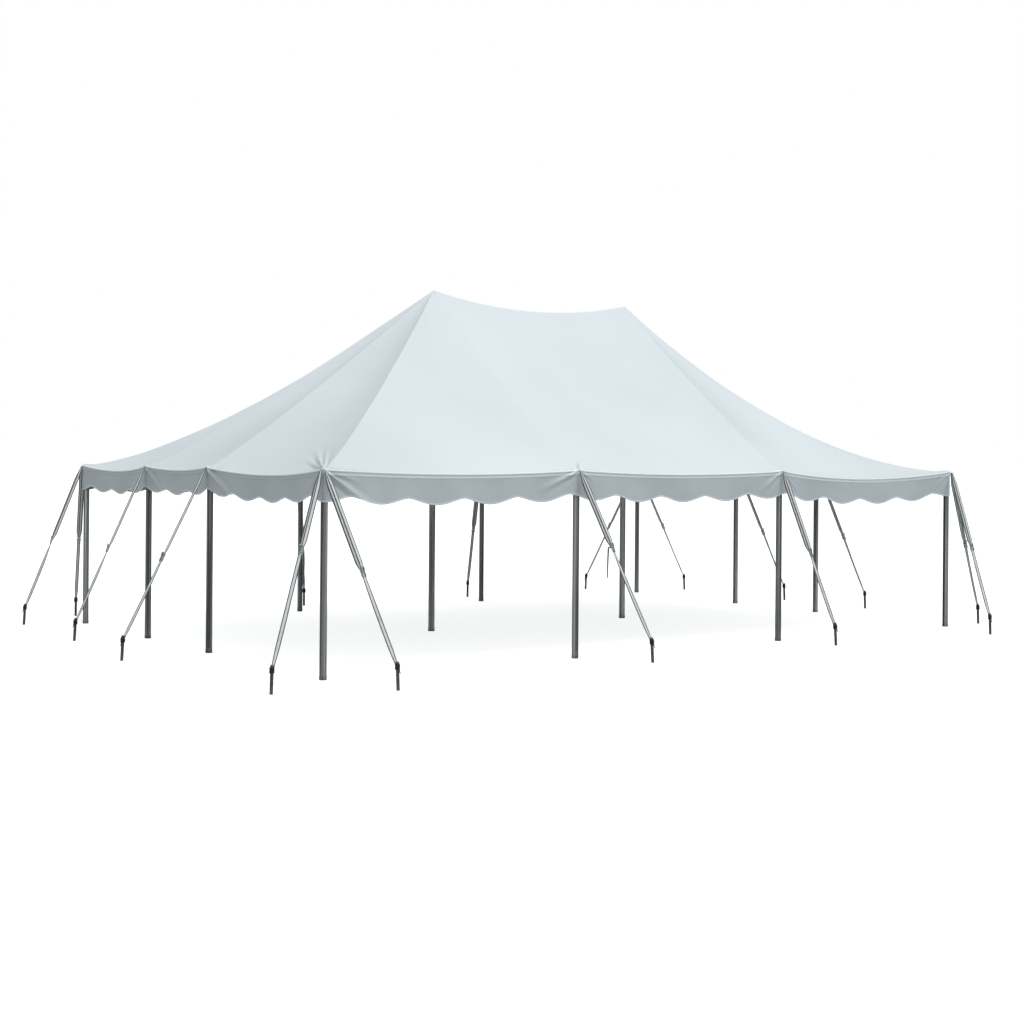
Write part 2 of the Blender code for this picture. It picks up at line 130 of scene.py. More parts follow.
@dataclass(frozen=True)
class TentSide:
    """One side of the tent, measured from left to right as seen from outside.

    Places run along the eave from the middle of the side. Heights run from 0 at the eave to 1
    at the ridge or peak.
    """

    edge: Edge
    turn: float
    poles: tuple[float, ...]
    half_along: float
    half_across: float
    sags: tuple[float, ...]
    dips: tuple[float, ...]
    tops: tuple[float, float]
    top_out: float
    curves: tuple[float, ...]
    ridge_sag: float
    roof_folds: tuple[tuple[Fold, ...], ...]
    valance_folds: tuple[tuple[Fold, ...], ...]
    lobes: int

    eave_height: float = 2.00
    rise: float = 2.18
    brim: float = 0.012
    bow_share: float = 0.80
    patch: float = 0.015
    point_height: float = 0.014
    point_width: float = 0.035
    point_reach: float = 0.0205
    corner_radius: float = 0.035
    fold_reach: float = 1.9
    corner_calm: float = 0.02
    least_limit: float = 0.012
    limit_slope: float = 0.25
    head_step: float = 0.010

    @property
    def heads(self) -> tuple[float, ...]:
        """Where the pole heads gather the cloth."""
        return (-self.half_along, *self.poles[1:-1], self.half_along)

    def bay(self, place: float) -> tuple[int, float, float]:
        """The bay at a place.

        Args:
            place: A place along the side.

        Returns:
            The bay's number, the share of it that lies to the left, and how far into its sag
            the eave is there, from 0 at a pole to 1 in the middle.
        """
        heads = self.heads
        number = max(i for i in range(len(heads) - 1) if i == 0 or place >= heads[i] - 1e-9)
        length = heads[number + 1] - heads[number]
        share = min(max((place - heads[number]) / length, 0.0), 1.0)
        inner = min(max((share - self.patch / length) / (1 - 2 * self.patch / length), 0.0), 1.0)
        return number, share, 4 * inner * (1 - inner)

    def drop(self, place: float) -> float:
        """How far the eave sags at a place."""
        number, _, hang = self.bay(place)
        return self.sags[number] * hang

    def bow(self, place: float) -> float:
        """How far the eave is drawn in at a place."""
        return self.bow_share * self.drop(place)

    def point(self, place: float) -> float:
        """How far the nearest pole head pushes the eave up at a place."""
        nearest = min(abs(place - head) for head in self.heads)
        return self.point_height * math.exp(-nearest / self.point_width)

    def roof(self, place: float, height: float) -> tuple[float, float, float]:
        """A point of the membrane.

        Args:
            place: The place on the eave that the point's column starts from.
            height: The share of the way to the top.

        Returns:
            The distance along, the distance out from the middle of the tent, and z.
        """
        number, share, hang = self.bay(place)
        ridge = (0.0, share, 1.0)[number]
        top = self.tops[0] + (self.tops[1] - self.tops[0]) * ridge
        curve = self.curves[number] + (self.curves[number + 1] - self.curves[number]) * share
        sag = self.sags[number] * hang
        out = self.half_across + (self.top_out - self.half_across) * height
        out -= self.bow_share * sag * (1 - height) ** 4
        z = self.eave_height + self.rise * (max(height - self.brim, 0.0) / (1 - self.brim)) ** curve
        z -= sag * (1 - height) ** 2 + self.dips[number] * hang * 4 * height * (1 - height)
        z -= self.ridge_sag * 4 * ridge * (1 - ridge) * height**2
        z += self.point(place) * math.exp(-height / self.point_reach)
        return place + (top - place) * height, out, z

    def seam_distance(self, place: float, height: float) -> float:
        """How far a point of the membrane lies from the nearest seam, which runs up from a pole."""
        number, _, _ = self.bay(place)
        here = self.roof(place, height)[0]
        lines = (self.heads[number], self.heads[number + 1])
        return min(abs(here - self.roof(line, height)[0]) for line in lines)

    @property
    def head_steps(self) -> tuple[tuple[float, float], ...]:
        """The first step between columns beside each pole head, and its growth.

        The head with the longest creases has the closest columns.
        """
        reaches = [max(fold.length for fold in group) for group in self.roof_folds]
        growths = (1.035 if reach > 0.9 else 1.06 if reach > 0.5 else 1.18 for reach in reaches)
        return tuple((self.head_step, growth) for growth in growths)

    def creases(self, folds: Sequence[Sequence[Fold]], along: float, up: float) -> float:
        """The rise of the cloth from all creases of this side.

        The cloth is held at each pole head, so close to one it can't rise far.

        Args:
            folds: The creases of each pole head.
            along: The distance along the side.
            up: Distance up the cloth from the eave, negative down the valance.

        Returns:
            The rise along the cloth's normal.
        """
        total = 0.0
        for head, group in zip(self.heads, folds):
            across = along - head
            if abs(across) > self.fold_reach:
                continue
            corner = abs(head) > self.half_along - 1e-6
            mask = min(abs(across) / self.corner_calm, 1.0) if corner else 1.0
            limit = self.least_limit + self.limit_slope * math.hypot(across, up)
            total += mask * limit * math.tanh(sum(fold.lift(across, up) for fold in group) / limit)
        return total

    def rounded(self, along: float, out: float, proud: float = 0.0) -> tuple[float, float, float, float]:
        """Round the plan of the tent at its corners.

        Args:
            along: Distance along the side.
            out: Distance out from the middle of the tent.
            proud: Not used; it would say how far the whole edge stands outside the eave line.

        Returns:
            The new distances along and out, and the outward direction there.
        """
        sign = math.copysign(1.0, along)
        radius = self.corner_radius
        past = abs(along) - (self.half_along - radius)
        beyond = out - (self.half_across - radius)
        if past <= 0.0 or beyond <= 0.0:
            return along, out, 0.0, 1.0
        length = math.hypot(past, beyond)
        scale = max(past, beyond) / length
        return (
            sign * (self.half_along - radius + past * scale),
            self.half_across - radius + beyond * scale,
            sign * past / length,
            beyond / length,
        )

    def to_tent(self, along: float, out: float, z: float) -> Vector:
        """Carry a point of this side to the tent's own frame."""
        return Matrix.Rotation(math.radians(self.turn), 3, "Z") @ Vector((along, -out, z))


@dataclass(frozen=True)
class Guy:
    """One strap guy: its name, where it starts on the ground plan, its aim and its reach.

    The ratchet is at a share of the way down, and the loose end hangs from it where it shows.
    """

    label: str
    start: tuple[float, float]
    facing: float
    reach: float
    ratchet_place: float
    loose_end: bool
    ring_shift: float = 0.0
    twist: float = 0.0

    @property
    def placement(self) -> Matrix:
        """Carries the guy's own frame, X outwards and Z up, to the tent."""
        return Matrix.Translation((*self.start, 0.0)) @ Matrix.Rotation(self.facing, 4, "Z")


# Creases at the pole heads. The corner in front and its neighbours carry the long ones.
SMALL_GATHER = (Fold(90, 0.26, 0.014, 0.011), Fold(172, 0.30, 0.012, 0.010), Fold(8, 0.30, 0.012, 0.010))
END_GATHER = (Fold(92, 0.24, 0.014, 0.012), Fold(10, 0.34, 0.014, 0.012), Fold(170, 0.34, 0.014, 0.012))
PLAIN_HANG = (Fold(-150, 0.42, 0.016, 0.022), Fold(-30, 0.42, 0.016, 0.022))
LEFT_CORNER_ROOF = (Fold(7, 0.95, 0.020, 0.012), Fold(22, 0.50, 0.016, 0.013), Fold(46, 0.48, 0.014, 0.014))
RIGHT_CORNER_ROOF = (Fold(172, 0.60, 0.014, 0.012), Fold(156, 0.36, 0.010, 0.012))
FRONT_ROOF_FOLDS = (
    LEFT_CORNER_ROOF,
    (Fold(60, 0.46, 0.042, 0.013), Fold(170, 0.60, 0.022, 0.012), Fold(10, 0.50, 0.024, 0.012)),
    (Fold(60, 0.30, 0.026, 0.012), Fold(171, 0.40, 0.018, 0.011), Fold(9, 0.40, 0.018, 0.011)),
    RIGHT_CORNER_ROOF,
)
LEFT_ROOF_FOLDS = (
    (Fold(20, 0.40, 0.012, 0.013), Fold(42, 0.30, 0.010, 0.014)),
    (Fold(136, 0.22, 0.014, 0.012), Fold(12, 0.40, 0.014, 0.013), Fold(168, 0.36, 0.014, 0.012)),
    (Fold(136, 0.26, 0.020, 0.012), Fold(14, 0.46, 0.018, 0.014), Fold(166, 0.44, 0.018, 0.014)),
    (
        Fold(157.5, 1.20, 0.050, 0.023),
        Fold(151.5, 1.40, 0.058, 0.024),
        Fold(146, 1.10, 0.046, 0.021),
        Fold(168, 0.70, 0.018, 0.014),
    ),
)
RIGHT_ROOF_FOLDS = (
    (Fold(24, 0.60, 0.016, 0.014), Fold(40, 0.50, 0.014, 0.016)),
    END_GATHER,
    END_GATHER,
    (Fold(156, 0.60, 0.016, 0.014), Fold(140, 0.50, 0.014, 0.016)),
)
BACK_ROOF_FOLDS = (LEFT_CORNER_ROOF[:2], SMALL_GATHER, SMALL_GATHER, RIGHT_CORNER_ROOF)
FRONT_VALANCE_FOLDS = (
    (Fold(-31, 0.80, 0.040, 0.034), Fold(-13, 0.50, 0.014, 0.016), Fold(-72, 0.28, 0.014, 0.018)),
    (
        Fold(-159, 0.66, 0.026, 0.032),
        Fold(-172, 0.34, 0.010, 0.012),
        Fold(-98, 0.30, 0.014, 0.014),
        Fold(-24, 0.28, 0.016, 0.014),
    ),
    (
        Fold(-147, 0.52, 0.021, 0.030),
        Fold(-34, 0.38, 0.018, 0.015),
        Fold(-52, 0.40, 0.016, 0.015),
        Fold(-92, 0.26, 0.010, 0.014),
    ),
    (Fold(-150, 0.40, 0.012, 0.020), Fold(-118, 0.26, 0.010, 0.016)),
)
LEFT_VALANCE_FOLDS = (
    (Fold(-40, 0.34, 0.014, 0.020),),
    (Fold(-33, 0.60, 0.034, 0.028), Fold(-90, 0.28, 0.010, 0.014), Fold(-150, 0.28, 0.014, 0.018)),
    (Fold(-27, 0.85, 0.046, 0.036), Fold(-90, 0.30, 0.018, 0.014), Fold(-150, 0.32, 0.016, 0.020)),
    (Fold(-156, 0.50, 0.016, 0.024), Fold(-112, 0.30, 0.014, 0.020)),
)
OTHER_VALANCE_FOLDS = (
    (Fold(-36, 0.50, 0.022, 0.024),),
    PLAIN_HANG,
    PLAIN_HANG,
    (Fold(-144, 0.50, 0.022, 0.024),),
)


@dataclass(frozen=True)
class TentPlan:
    """The driving sizes of the whole tent."""

    length: float = 9.14
    width: float = 6.10
    left_front_bay: float = 2.50
    left_back_bay: float = 1.96
    right_corner_bay: float = 2.25
    overhang: float = 0.045
    ridge_shift: float = 0.17
    front_curves: tuple[float, ...] = (1.18, 1.12, 1.10, 1.79)
    right_curves: tuple[float, ...] = (1.79, 1.35, 1.35, 1.72)
    back_curves: tuple[float, ...] = (1.72, 1.10, 1.12, 1.45)
    left_curves: tuple[float, ...] = (1.45, 1.10, 1.08, 1.18)
    ridge_sag: float = 0.166
    side_lobes: int = 14
    end_lobes: int = 11
    side_sags: tuple[float, ...] = (0.042, 0.040, 0.092)
    end_sags: tuple[float, ...] = (0.062, 0.036, 0.066)
    side_dips: tuple[float, ...] = (0.035, 0.030, 0.075)
    end_dips: tuple[float, ...] = (0.060, 0.050, 0.060)
    front_guys: tuple[tuple[float, float], ...] = ((15, 0.94), (35, 0.80), (20, 0.67), (-20, 0.92))
    left_guys: tuple[tuple[float, float], ...] = ((36, 0.95), (8, 0.99), (-14, 0.77), (-20, 0.68))
    right_guys: tuple[tuple[float, float], ...] = ((0, 0.61), (0, 0.985), (0, 0.985), (0, 0.985))
    fit: float = 0.00052
    guy_from_corner: float = 0.036
    ring_half_width: float = 0.030
    ring_bar: float = 0.009
    ring_shift: float = 0.022
    ratchet_place: float = 0.53
    high_ratchets: tuple[tuple[str, float], ...] = (("front_2", 0.455), ("left_1", 0.415))
    twists: tuple[tuple[str, float], ...] = (
        ("front_1", 0.40), ("front_2", 0.75), ("front_3", 0.70), ("left_1", -0.10), ("left_2", 0.05),
        ("left_3", -0.35), ("left_4", -0.90),
    )

    @property
    def half_x(self) -> float:
        """From the middle to the eave of an end."""
        return self.length / 2 + self.overhang

    @property
    def half_y(self) -> float:
        """From the middle to the eave of a long side."""
        return self.width / 2 + self.overhang

    @property
    def peaks(self) -> tuple[float, float]:
        """Where the two peaks stand along X."""
        return self.ridge_shift - self.length / 6, self.ridge_shift + self.length / 6

    @property
    def side_poles(self) -> tuple[float, ...]:
        """Poles along a long side."""
        return tuple(-self.length / 2 + self.length * i / 3 for i in range(4))

    @property
    def left_poles(self) -> tuple[float, ...]:
        """Poles along the left end, from front to back."""
        half = self.width / 2
        return -half, self.left_front_bay - half, half - self.left_back_bay, half

    @property
    def right_poles(self) -> tuple[float, ...]:
        """Poles along the right end, from front to back."""
        half, inner = self.width / 2, self.width / 2 - self.right_corner_bay
        return -half, -inner, inner, half

    def sides(self) -> list[TentSide]:
        """The four sides, anticlockwise from the front."""
        left, right = self.peaks
        long_side = {"poles": self.side_poles, "half_along": self.half_x, "half_across": self.half_y}
        long_side |= {"top_out": 0.0, "ridge_sag": self.ridge_sag, "lobes": self.side_lobes}
        short_side = {"half_along": self.half_y, "half_across": self.half_x, "dips": self.end_dips}
        short_side |= {"tops": (0.0, 0.0), "ridge_sag": 0.0, "lobes": self.end_lobes}
        left_poles = tuple(-y for y in reversed(self.left_poles))
        return [
            TentSide(
                Edge.FRONT, 0, sags=self.side_sags, dips=self.side_dips, tops=(left, right),
                curves=self.front_curves, roof_folds=FRONT_ROOF_FOLDS, valance_folds=FRONT_VALANCE_FOLDS,
                **long_side,
            ),
            TentSide(
                Edge.RIGHT, 90, poles=self.right_poles, sags=self.end_sags[::-1], top_out=right,
                curves=self.right_curves, roof_folds=RIGHT_ROOF_FOLDS, valance_folds=OTHER_VALANCE_FOLDS,
                **short_side,
            ),
            TentSide(
                Edge.BACK, 180, sags=self.side_sags[::-1], dips=self.side_dips[::-1], tops=(-right, -left),
                curves=self.back_curves, roof_folds=BACK_ROOF_FOLDS, valance_folds=OTHER_VALANCE_FOLDS,
                **long_side,
            ),
            TentSide(
                Edge.LEFT, -90, poles=left_poles, sags=self.end_sags, top_out=-left,
                curves=self.left_curves, roof_folds=LEFT_ROOF_FOLDS, valance_folds=LEFT_VALANCE_FOLDS,
                **short_side,
            ),
        ]

    def side_pole_places(self) -> list[tuple[str, float, float]]:
        """Each side pole once, as its label and its place on the ground."""
        places = []
        for row, y in (("front", -self.width / 2), ("back", self.width / 2)):
            places += [(f"{row}_{i}", x, y) for i, x in enumerate(self.side_poles, start=1)]
        half = self.length / 2
        for row, x, poles in (("left", -half, self.left_poles), ("right", half, self.right_poles)):
            places += [(f"{row}_{i}", x, y) for i, y in enumerate(poles[1:-1], start=2)]
        return places

    def guy(
        self, label: str, x: float, y: float, outward: float, turned: float, reach: float, to_corner: float,
    ) -> Guy:
        """One guy, stood off from the eave by its ring.

        Args:
            label: The end of the guy's name.
            x: Where it starts on the eave line.
            y: Where it starts on the eave line.
            outward: The direction straight out from the side, in radians.
            turned: How far the guy turns from that, in radians.
            reach: How far out its stake stands.
            to_corner: 1 or -1 where its ring moves to the corner at its left or right, seen from
                inside, and 0 where the guy is not at a corner.

        Returns:
            The guy, at its place.
        """
        ring = self.ring_half_width * abs(math.sin(turned)) + self.ring_bar * math.cos(turned)
        stand_off = self.fit + ring
        start = (x + stand_off * math.cos(outward), y + stand_off * math.sin(outward))
        high = dict(self.high_ratchets)
        shift = to_corner * self.ring_shift
        ratchet_place, twist = high.get(label, self.ratchet_place), dict(self.twists).get(label, 0.0)
        return Guy(label, start, outward + turned, reach, ratchet_place, label in high, shift, twist)

    def guys(self) -> list[Guy]:
        """All sixteen guys."""
        found = []
        for row, sign in (("front", -1), ("back", 1)):
            for number, (x, (degrees, reach)) in enumerate(zip(self.side_poles, self.front_guys), start=1):
                corner = math.copysign(1.0, x) if number in (1, 4) else 0.0
                start = corner * (self.half_x - self.guy_from_corner) if corner else x
                place = (start, sign * self.half_y, sign * math.pi / 2, -sign * math.radians(degrees))
                found.append(self.guy(f"{row}_{number}", *place, reach, -sign * corner))
        ends = (
            ("left", -1, self.left_poles, self.left_guys),
            ("right", 1, self.right_poles, self.right_guys),
        )
        for row, sign, poles, aims in ends:
            for number, (y, (degrees, reach)) in enumerate(zip(poles, aims), start=1):
                corner = math.copysign(1.0, y) if number in (1, 4) else 0.0
                start = corner * (self.half_y - self.guy_from_corner) if corner else y
                outward = 0.0 if sign > 0 else math.pi
                place = (sign * self.half_x, start, outward, math.radians(degrees))
                found.append(self.guy(f"{row}_{number}", *place, reach, sign * corner))
        return found


# Finishes


class ShaderTree:
    """A material's node tree, built a few nodes at a time."""

    def __init__(self, name: str) -> None:
        """Start a material with its Principled shader."""
        self.material = bpy.data.materials.new(name)
        self.material.use_nodes = True
        self.nodes = self.material.node_tree.nodes
        self.links = self.material.node_tree.links
        self.shader = self.nodes["Principled BSDF"]

    def add(self, kind: str, inputs: dict | None = None, **settings: object) -> bpy.types.Node:
        """Add a node.

        Args:
            kind: The node's type, without its ShaderNode prefix.
            inputs: Values or sockets for its inputs, by name or number.
            settings: Properties of the node.

        Returns:
            The new node.
        """
        node = self.nodes.new("ShaderNode" + kind)
        for key, value in settings.items():
            setattr(node, key, value)
        for key, value in (inputs or {}).items():
            self.feed(node.inputs[key], value)
        return node

    def feed(self, socket: Socket, value: object) -> None:
        """Give a socket a value, or link it to another socket."""
        if isinstance(value, Socket):
            self.links.new(value, socket)
        else:
            socket.default_value = value

    def calculate(self, operation: str, first: object, second: object = 0.0, clamp: bool = False) -> Socket:
        """The result of a Math node, kept between 0 and 1 where clamp is true."""
        return self.add("Math", {0: first, 1: second}, operation=operation, use_clamp=clamp).outputs[0]

    def product(self, first: object, second: object) -> Socket:
        """The product of two masks."""
        return self.calculate("MULTIPLY", first, second, clamp=True)

    def larger(self, first: object, second: object) -> Socket:
        """The larger of two masks."""
        return self.calculate("MAXIMUM", first, second, clamp=True)

    def linear(self, value: object, scale: float, offset: float) -> Socket:
        """A value times a scale, plus an offset."""
        return self.calculate("ADD", self.calculate("MULTIPLY", value, scale), offset)

    def ramp(self, value: object, start: float, end: float) -> Socket:
        """A smooth step from 0 at start to 1 at end.

        Args:
            value: What is tested.
            start: Where the step is 0.
            end: Where the step is 1, on either side of start.

        Returns:
            The step as a socket.
        """
        node = self.add("MapRange", {"Value": value}, interpolation_type="SMOOTHSTEP")
        low, high, first, last = (start, end, 0.0, 1.0) if start < end else (end, start, 1.0, 0.0)
        for name, number in (("From Min", low), ("From Max", high), ("To Min", first), ("To Max", last)):
            node.inputs[name].default_value = number
        return node.outputs["Result"]

    def mix(self, first: object, second: object, share: object) -> Socket:
        """A mix of two colours.

        Args:
            first: The colour at share 0.
            second: The colour at share 1.
            share: A number or socket.

        Returns:
            The mixed colour.
        """
        node = self.add("Mix", data_type="RGBA")
        self.feed(node.inputs[0], share)
        for socket, colour in ((node.inputs[6], first), (node.inputs[7], second)):
            self.feed(socket, (*colour, 1.0) if isinstance(colour, tuple) else colour)
        return node.outputs[2]

    def noise(self, scale: float, detail: float = 3.0, vector: object = None) -> Socket:
        """Noise in the piece's own coordinates, or in the ones given."""
        where = vector or self.object_place()
        return self.add("TexNoise", {"Scale": scale, "Detail": detail, "Vector": where}).outputs[0]

    def patches(self, scale: float, detail: float, start: float, end: float) -> Socket:
        """Soft-edged patches of noise, from 0 where it is at start to 1 where it is at end."""
        return self.ramp(self.noise(scale, detail), start, end)

    def stain(self, colour: object, tint: Colour, mask: object, share: float) -> Socket:
        """A colour with some of a tint mixed in where a mask is set."""
        return self.mix(colour, tint, self.product(mask, share))

    def object_place(self) -> Socket:
        """Object coordinates."""
        return self.add("TexCoord").outputs["Object"]

    def uv(self, name: str) -> bpy.types.Node:
        """One UV map, split into its two distances."""
        return self.add("SeparateXYZ", {0: self.add("UVMap", uv_map=name).outputs[0]})

    def stretched(self, vector: object, scale: Colour) -> Socket:
        """Coordinates drawn out differently along each axis."""
        return self.add("Mapping", {"Vector": vector, "Scale": scale}).outputs[0]

    def weave(self, name: str, period: float) -> Socket:
        """The crossing threads of a cloth.

        Args:
            name: The UV map, in metres.
            period: The distance from thread to thread.

        Returns:
            The height of the weave, from 0 to 1.
        """
        inputs = {"Vector": self.add("UVMap", uv_map=name).outputs[0], "Scale": WAVE_SCALE / period}
        waves = [self.add("TexWave", inputs, bands_direction=axis).outputs[1] for axis in ("X", "Y")]
        return self.product(*waves)

    def bump(self, height: object, distance: float, strength: float = 1.0) -> None:
        """Put one bump on the shader's normal, over what it has already."""
        inputs = {"Height": height, "Distance": distance, "Strength": strength}
        normal = self.shader.inputs["Normal"]
        if normal.is_linked:
            inputs["Normal"] = normal.links[0].from_socket
        self.links.new(self.add("Bump", inputs).outputs[0], normal)

    def finish(self, colour: object, roughness: object, **constants: float) -> Material:
        """Set the shader.

        Args:
            colour: The base colour, a socket.
            roughness: The roughness, a number or socket.
            constants: Other inputs of the shader, with _ for a space.

        Returns:
            The finished material.
        """
        self.feed(self.shader.inputs["Base Color"], colour)
        self.feed(self.shader.inputs["Roughness"], roughness)
        for key, value in constants.items():
            self.shader.inputs[key.replace("_", " ")].default_value = value
        return self.material


@dataclass(frozen=True)
class MembraneFinish:
    """White coated polyester: a faint weave under a satin skin, doubled along its seams and hem. The rolled
    hem is painted paler as a painted highlight, and the low parts of the end panels are painted darker as
    painted shade.
    """

    name: str = "membrane_vinyl"
    colour: Colour = (0.680, 0.731, 0.754)
    shade: Colour = (0.640, 0.694, 0.717)
    # The paler tone of the doubled ridge band, also used as the painted highlight on the rolled hem.
    ridge_tone_and_hem_highlight: Colour = (0.850, 0.885, 0.900)
    seam_half_width: float = 0.020

    def make(self) -> Material:
        """Build the material."""
        tree = ShaderTree(self.name)
        seams = tree.uv("seams")
        cloth = tree.uv("cloth")
        half = self.seam_half_width
        doubled = tree.ramp(seams.outputs[0], half + 0.002, half - 0.002)
        ridge = tree.ramp(seams.outputs[1], half + 0.002, half - 0.002)
        seam = seams.outputs[0]
        outer = tree.ramp(seam, half + 0.004, half)
        stitch = tree.product(outer, tree.ramp(seam, half - 0.006, half - 0.002))
        cloud = tree.patches(0.55, 2.0, 0.30, 0.72)
        colour = tree.mix(self.shade, self.colour, cloud)
        colour = tree.stain(colour, (0.780, 0.825, 0.845), doubled, 0.10)
        colour = tree.stain(colour, self.ridge_tone_and_hem_highlight, ridge, 0.55)
        colour = tree.stain(colour, (0.500, 0.555, 0.585), stitch, 0.14)
        # Painted highlight: the rolled hem and the first couple of centimetres above it are painted paler,
        # standing in for the light that the roll catches.
        colour = tree.mix(colour, self.ridge_tone_and_hem_highlight, tree.ramp(cloth.outputs[1], 0.024, 0.016))
        low = tree.ramp(cloth.outputs[1], 0.30, 0.02)
        dust = tree.product(low, tree.patches(14.0, 5.0, 0.45, 0.80))
        colour = tree.stain(colour, (0.560, 0.590, 0.595), dust, 0.16)
        # Painted shade: the end panels are painted darker low down towards the eave, with no patches,
        # standing in for how light falls on them.
        place = tree.add("SeparateXYZ", {0: tree.object_place()})
        far_out = tree.ramp(tree.calculate("ABSOLUTE", place.outputs[0]), 2.4, 4.0)
        end_panel_painted_shade = tree.product(far_out, tree.ramp(place.outputs[2], 2.95, 2.15))
        colour = tree.stain(colour, (0.540, 0.586, 0.604), end_panel_painted_shade, 0.32)
        tree.bump(tree.noise(2.6, 3.0), 0.010, 0.30)
        tree.bump(tree.larger(doubled, ridge), 0.0003, 0.4)
        tree.bump(tree.weave("cloth", 0.0012), 0.0001, 0.30)
        roughness = tree.linear(tree.noise(30.0), 0.14, 0.38)
        return tree.finish(colour, roughness, Sheen_Weight=0.08, Sheen_Roughness=0.5)


@dataclass(frozen=True)
class ValanceFinish:
    """The membrane's cloth where it hangs upright, painted darker than the roof as painted shade, with the
    doubled band along its top painted paler as a painted highlight, and the strip under the hem painted
    nearly as pale.
    """

    name: str = "valance_vinyl"
    # Painted shade: the body colours are darker than the roof's same cloth, standing in for the shade on
    # the upright cloth.
    colour: Colour = (0.505, 0.560, 0.585)
    shade: Colour = (0.445, 0.498, 0.522)
    # Painted highlight: the band colour is paler than the body, standing in for light on the doubled band.
    band: Colour = (0.725, 0.775, 0.798)
    # Painted light and shade: the strip just under the hem is painted nearly as pale as the band,
    # lightening the hem's shadow, yet a little darker than the band as a thin shade line.
    crease: Colour = (0.680, 0.735, 0.758)
    stitch: float = 0.0045

    def make(self) -> Material:
        """Build the material."""
        tree = ShaderTree(self.name)
        down = tree.uv("cloth").outputs[1]
        cloud = tree.patches(1.6, 3.0, 0.32, 0.70)
        colour = tree.mix(self.shade, self.colour, cloud)
        # Painted highlight: the doubled band along the top is painted paler.
        colour = tree.mix(colour, self.band, tree.ramp(down, 0.0490, 0.0440))
        # Painted light and shade: the strip under the hem is paler than the body but a little darker than
        # the band.
        colour = tree.mix(colour, self.crease, tree.ramp(down, 0.0230, 0.0180))
        place = tree.add("UVMap", uv_map="cloth").outputs[0]
        stitches = tree.add(
            "TexWave", {"Vector": place, "Scale": WAVE_SCALE / self.stitch}, bands_direction="X"
        ).outputs[1]
        line = tree.product(tree.ramp(down, 0.0395, 0.0405), tree.ramp(down, 0.0425, 0.0415))
        thread = tree.product(line, tree.ramp(stitches, 0.25, 0.45))
        colour = tree.stain(colour, (0.38, 0.42, 0.43), thread, 0.6)
        grime = tree.product(tree.ramp(down, 0.14, 0.31), tree.patches(11.0, 5.0, 0.50, 0.82))
        colour = tree.stain(colour, (0.36, 0.38, 0.38), grime, 0.22)
        tree.bump(tree.noise(7.0, 3.0), 0.003, 0.35)
        tree.bump(line, 0.0004, 0.8)
        tree.bump(tree.weave("cloth", 0.0012), 0.0001, 0.30)
        return tree.finish(colour, 0.46, Sheen_Weight=0.08, Sheen_Roughness=0.5)


@dataclass(frozen=True)
class TapeFinish:
    """Woven edging tape."""

    name: str = "edging_tape"
    colour: Colour = (0.62, 0.665, 0.685)

    def make(self) -> Material:
        """Build the material."""
        tree = ShaderTree(self.name)
        soil = tree.patches(9.0, 4.0, 0.45, 0.80)
        colour = tree.mix(self.colour, (0.48, 0.51, 0.52), tree.product(soil, 0.5))
        tree.bump(tree.noise(900.0, 1.0), 0.0003, 0.6)
        return tree.finish(colour, 0.70)


@dataclass(frozen=True)
class PoleFinish:
    """Worn grey galvanising on a rolled tube, with long dark and bright streaks painted on as painted shade
    and painted reflections, dusty at the foot.
    """

    name: str = "pole_steel_grey"
    # The dark streak colour is painted shade, the bright streak colour a painted reflection.
    dark: Colour = (0.062, 0.064, 0.063)
    grey: Colour = (0.190, 0.196, 0.192)
    bright: Colour = (0.460, 0.468, 0.462)

    def make(self) -> Material:
        """Build the material."""
        tree = ShaderTree(self.name)
        place = tree.object_place()
        broad = tree.noise(1.0, 1.0, tree.stretched(place, (46.0, 46.0, 0.25)))
        fine = tree.noise(1.0, 4.0, tree.stretched(place, (110.0, 110.0, 1.2)))
        # Painted reflections and shade: long dark, grey and bright streaks stand in for the reflections
        # that a glossy tube shows.
        colour = tree.mix(self.dark, self.grey, tree.ramp(broad, 0.41, 0.50))
        lit = tree.product(tree.ramp(broad, 0.54, 0.64), 0.80)
        colour = tree.mix(colour, self.bright, lit)
        # Painted shade: fine dark streaks along the tube.
        colour = tree.stain(colour, (0.060, 0.062, 0.062), tree.ramp(fine, 0.52, 0.66), 0.45)
        scuffs = tree.patches(48.0, 6.0, 0.64, 0.74)
        colour = tree.stain(colour, (0.30, 0.305, 0.30), scuffs, 0.5)
        height = tree.add("SeparateXYZ", {0: place}).outputs[2]
        dust = tree.product(tree.ramp(height, 0.16, 0.0), tree.patches(30.0, 5.0, 0.35, 0.70))
        colour = tree.stain(colour, (0.24, 0.235, 0.22), dust, 0.6)
        tree.bump(tree.noise(160.0, 3.0), 0.0004, 0.30)
        roughness = tree.linear(fine, 0.20, 0.26)
        return tree.finish(colour, roughness, Metallic=0.35)


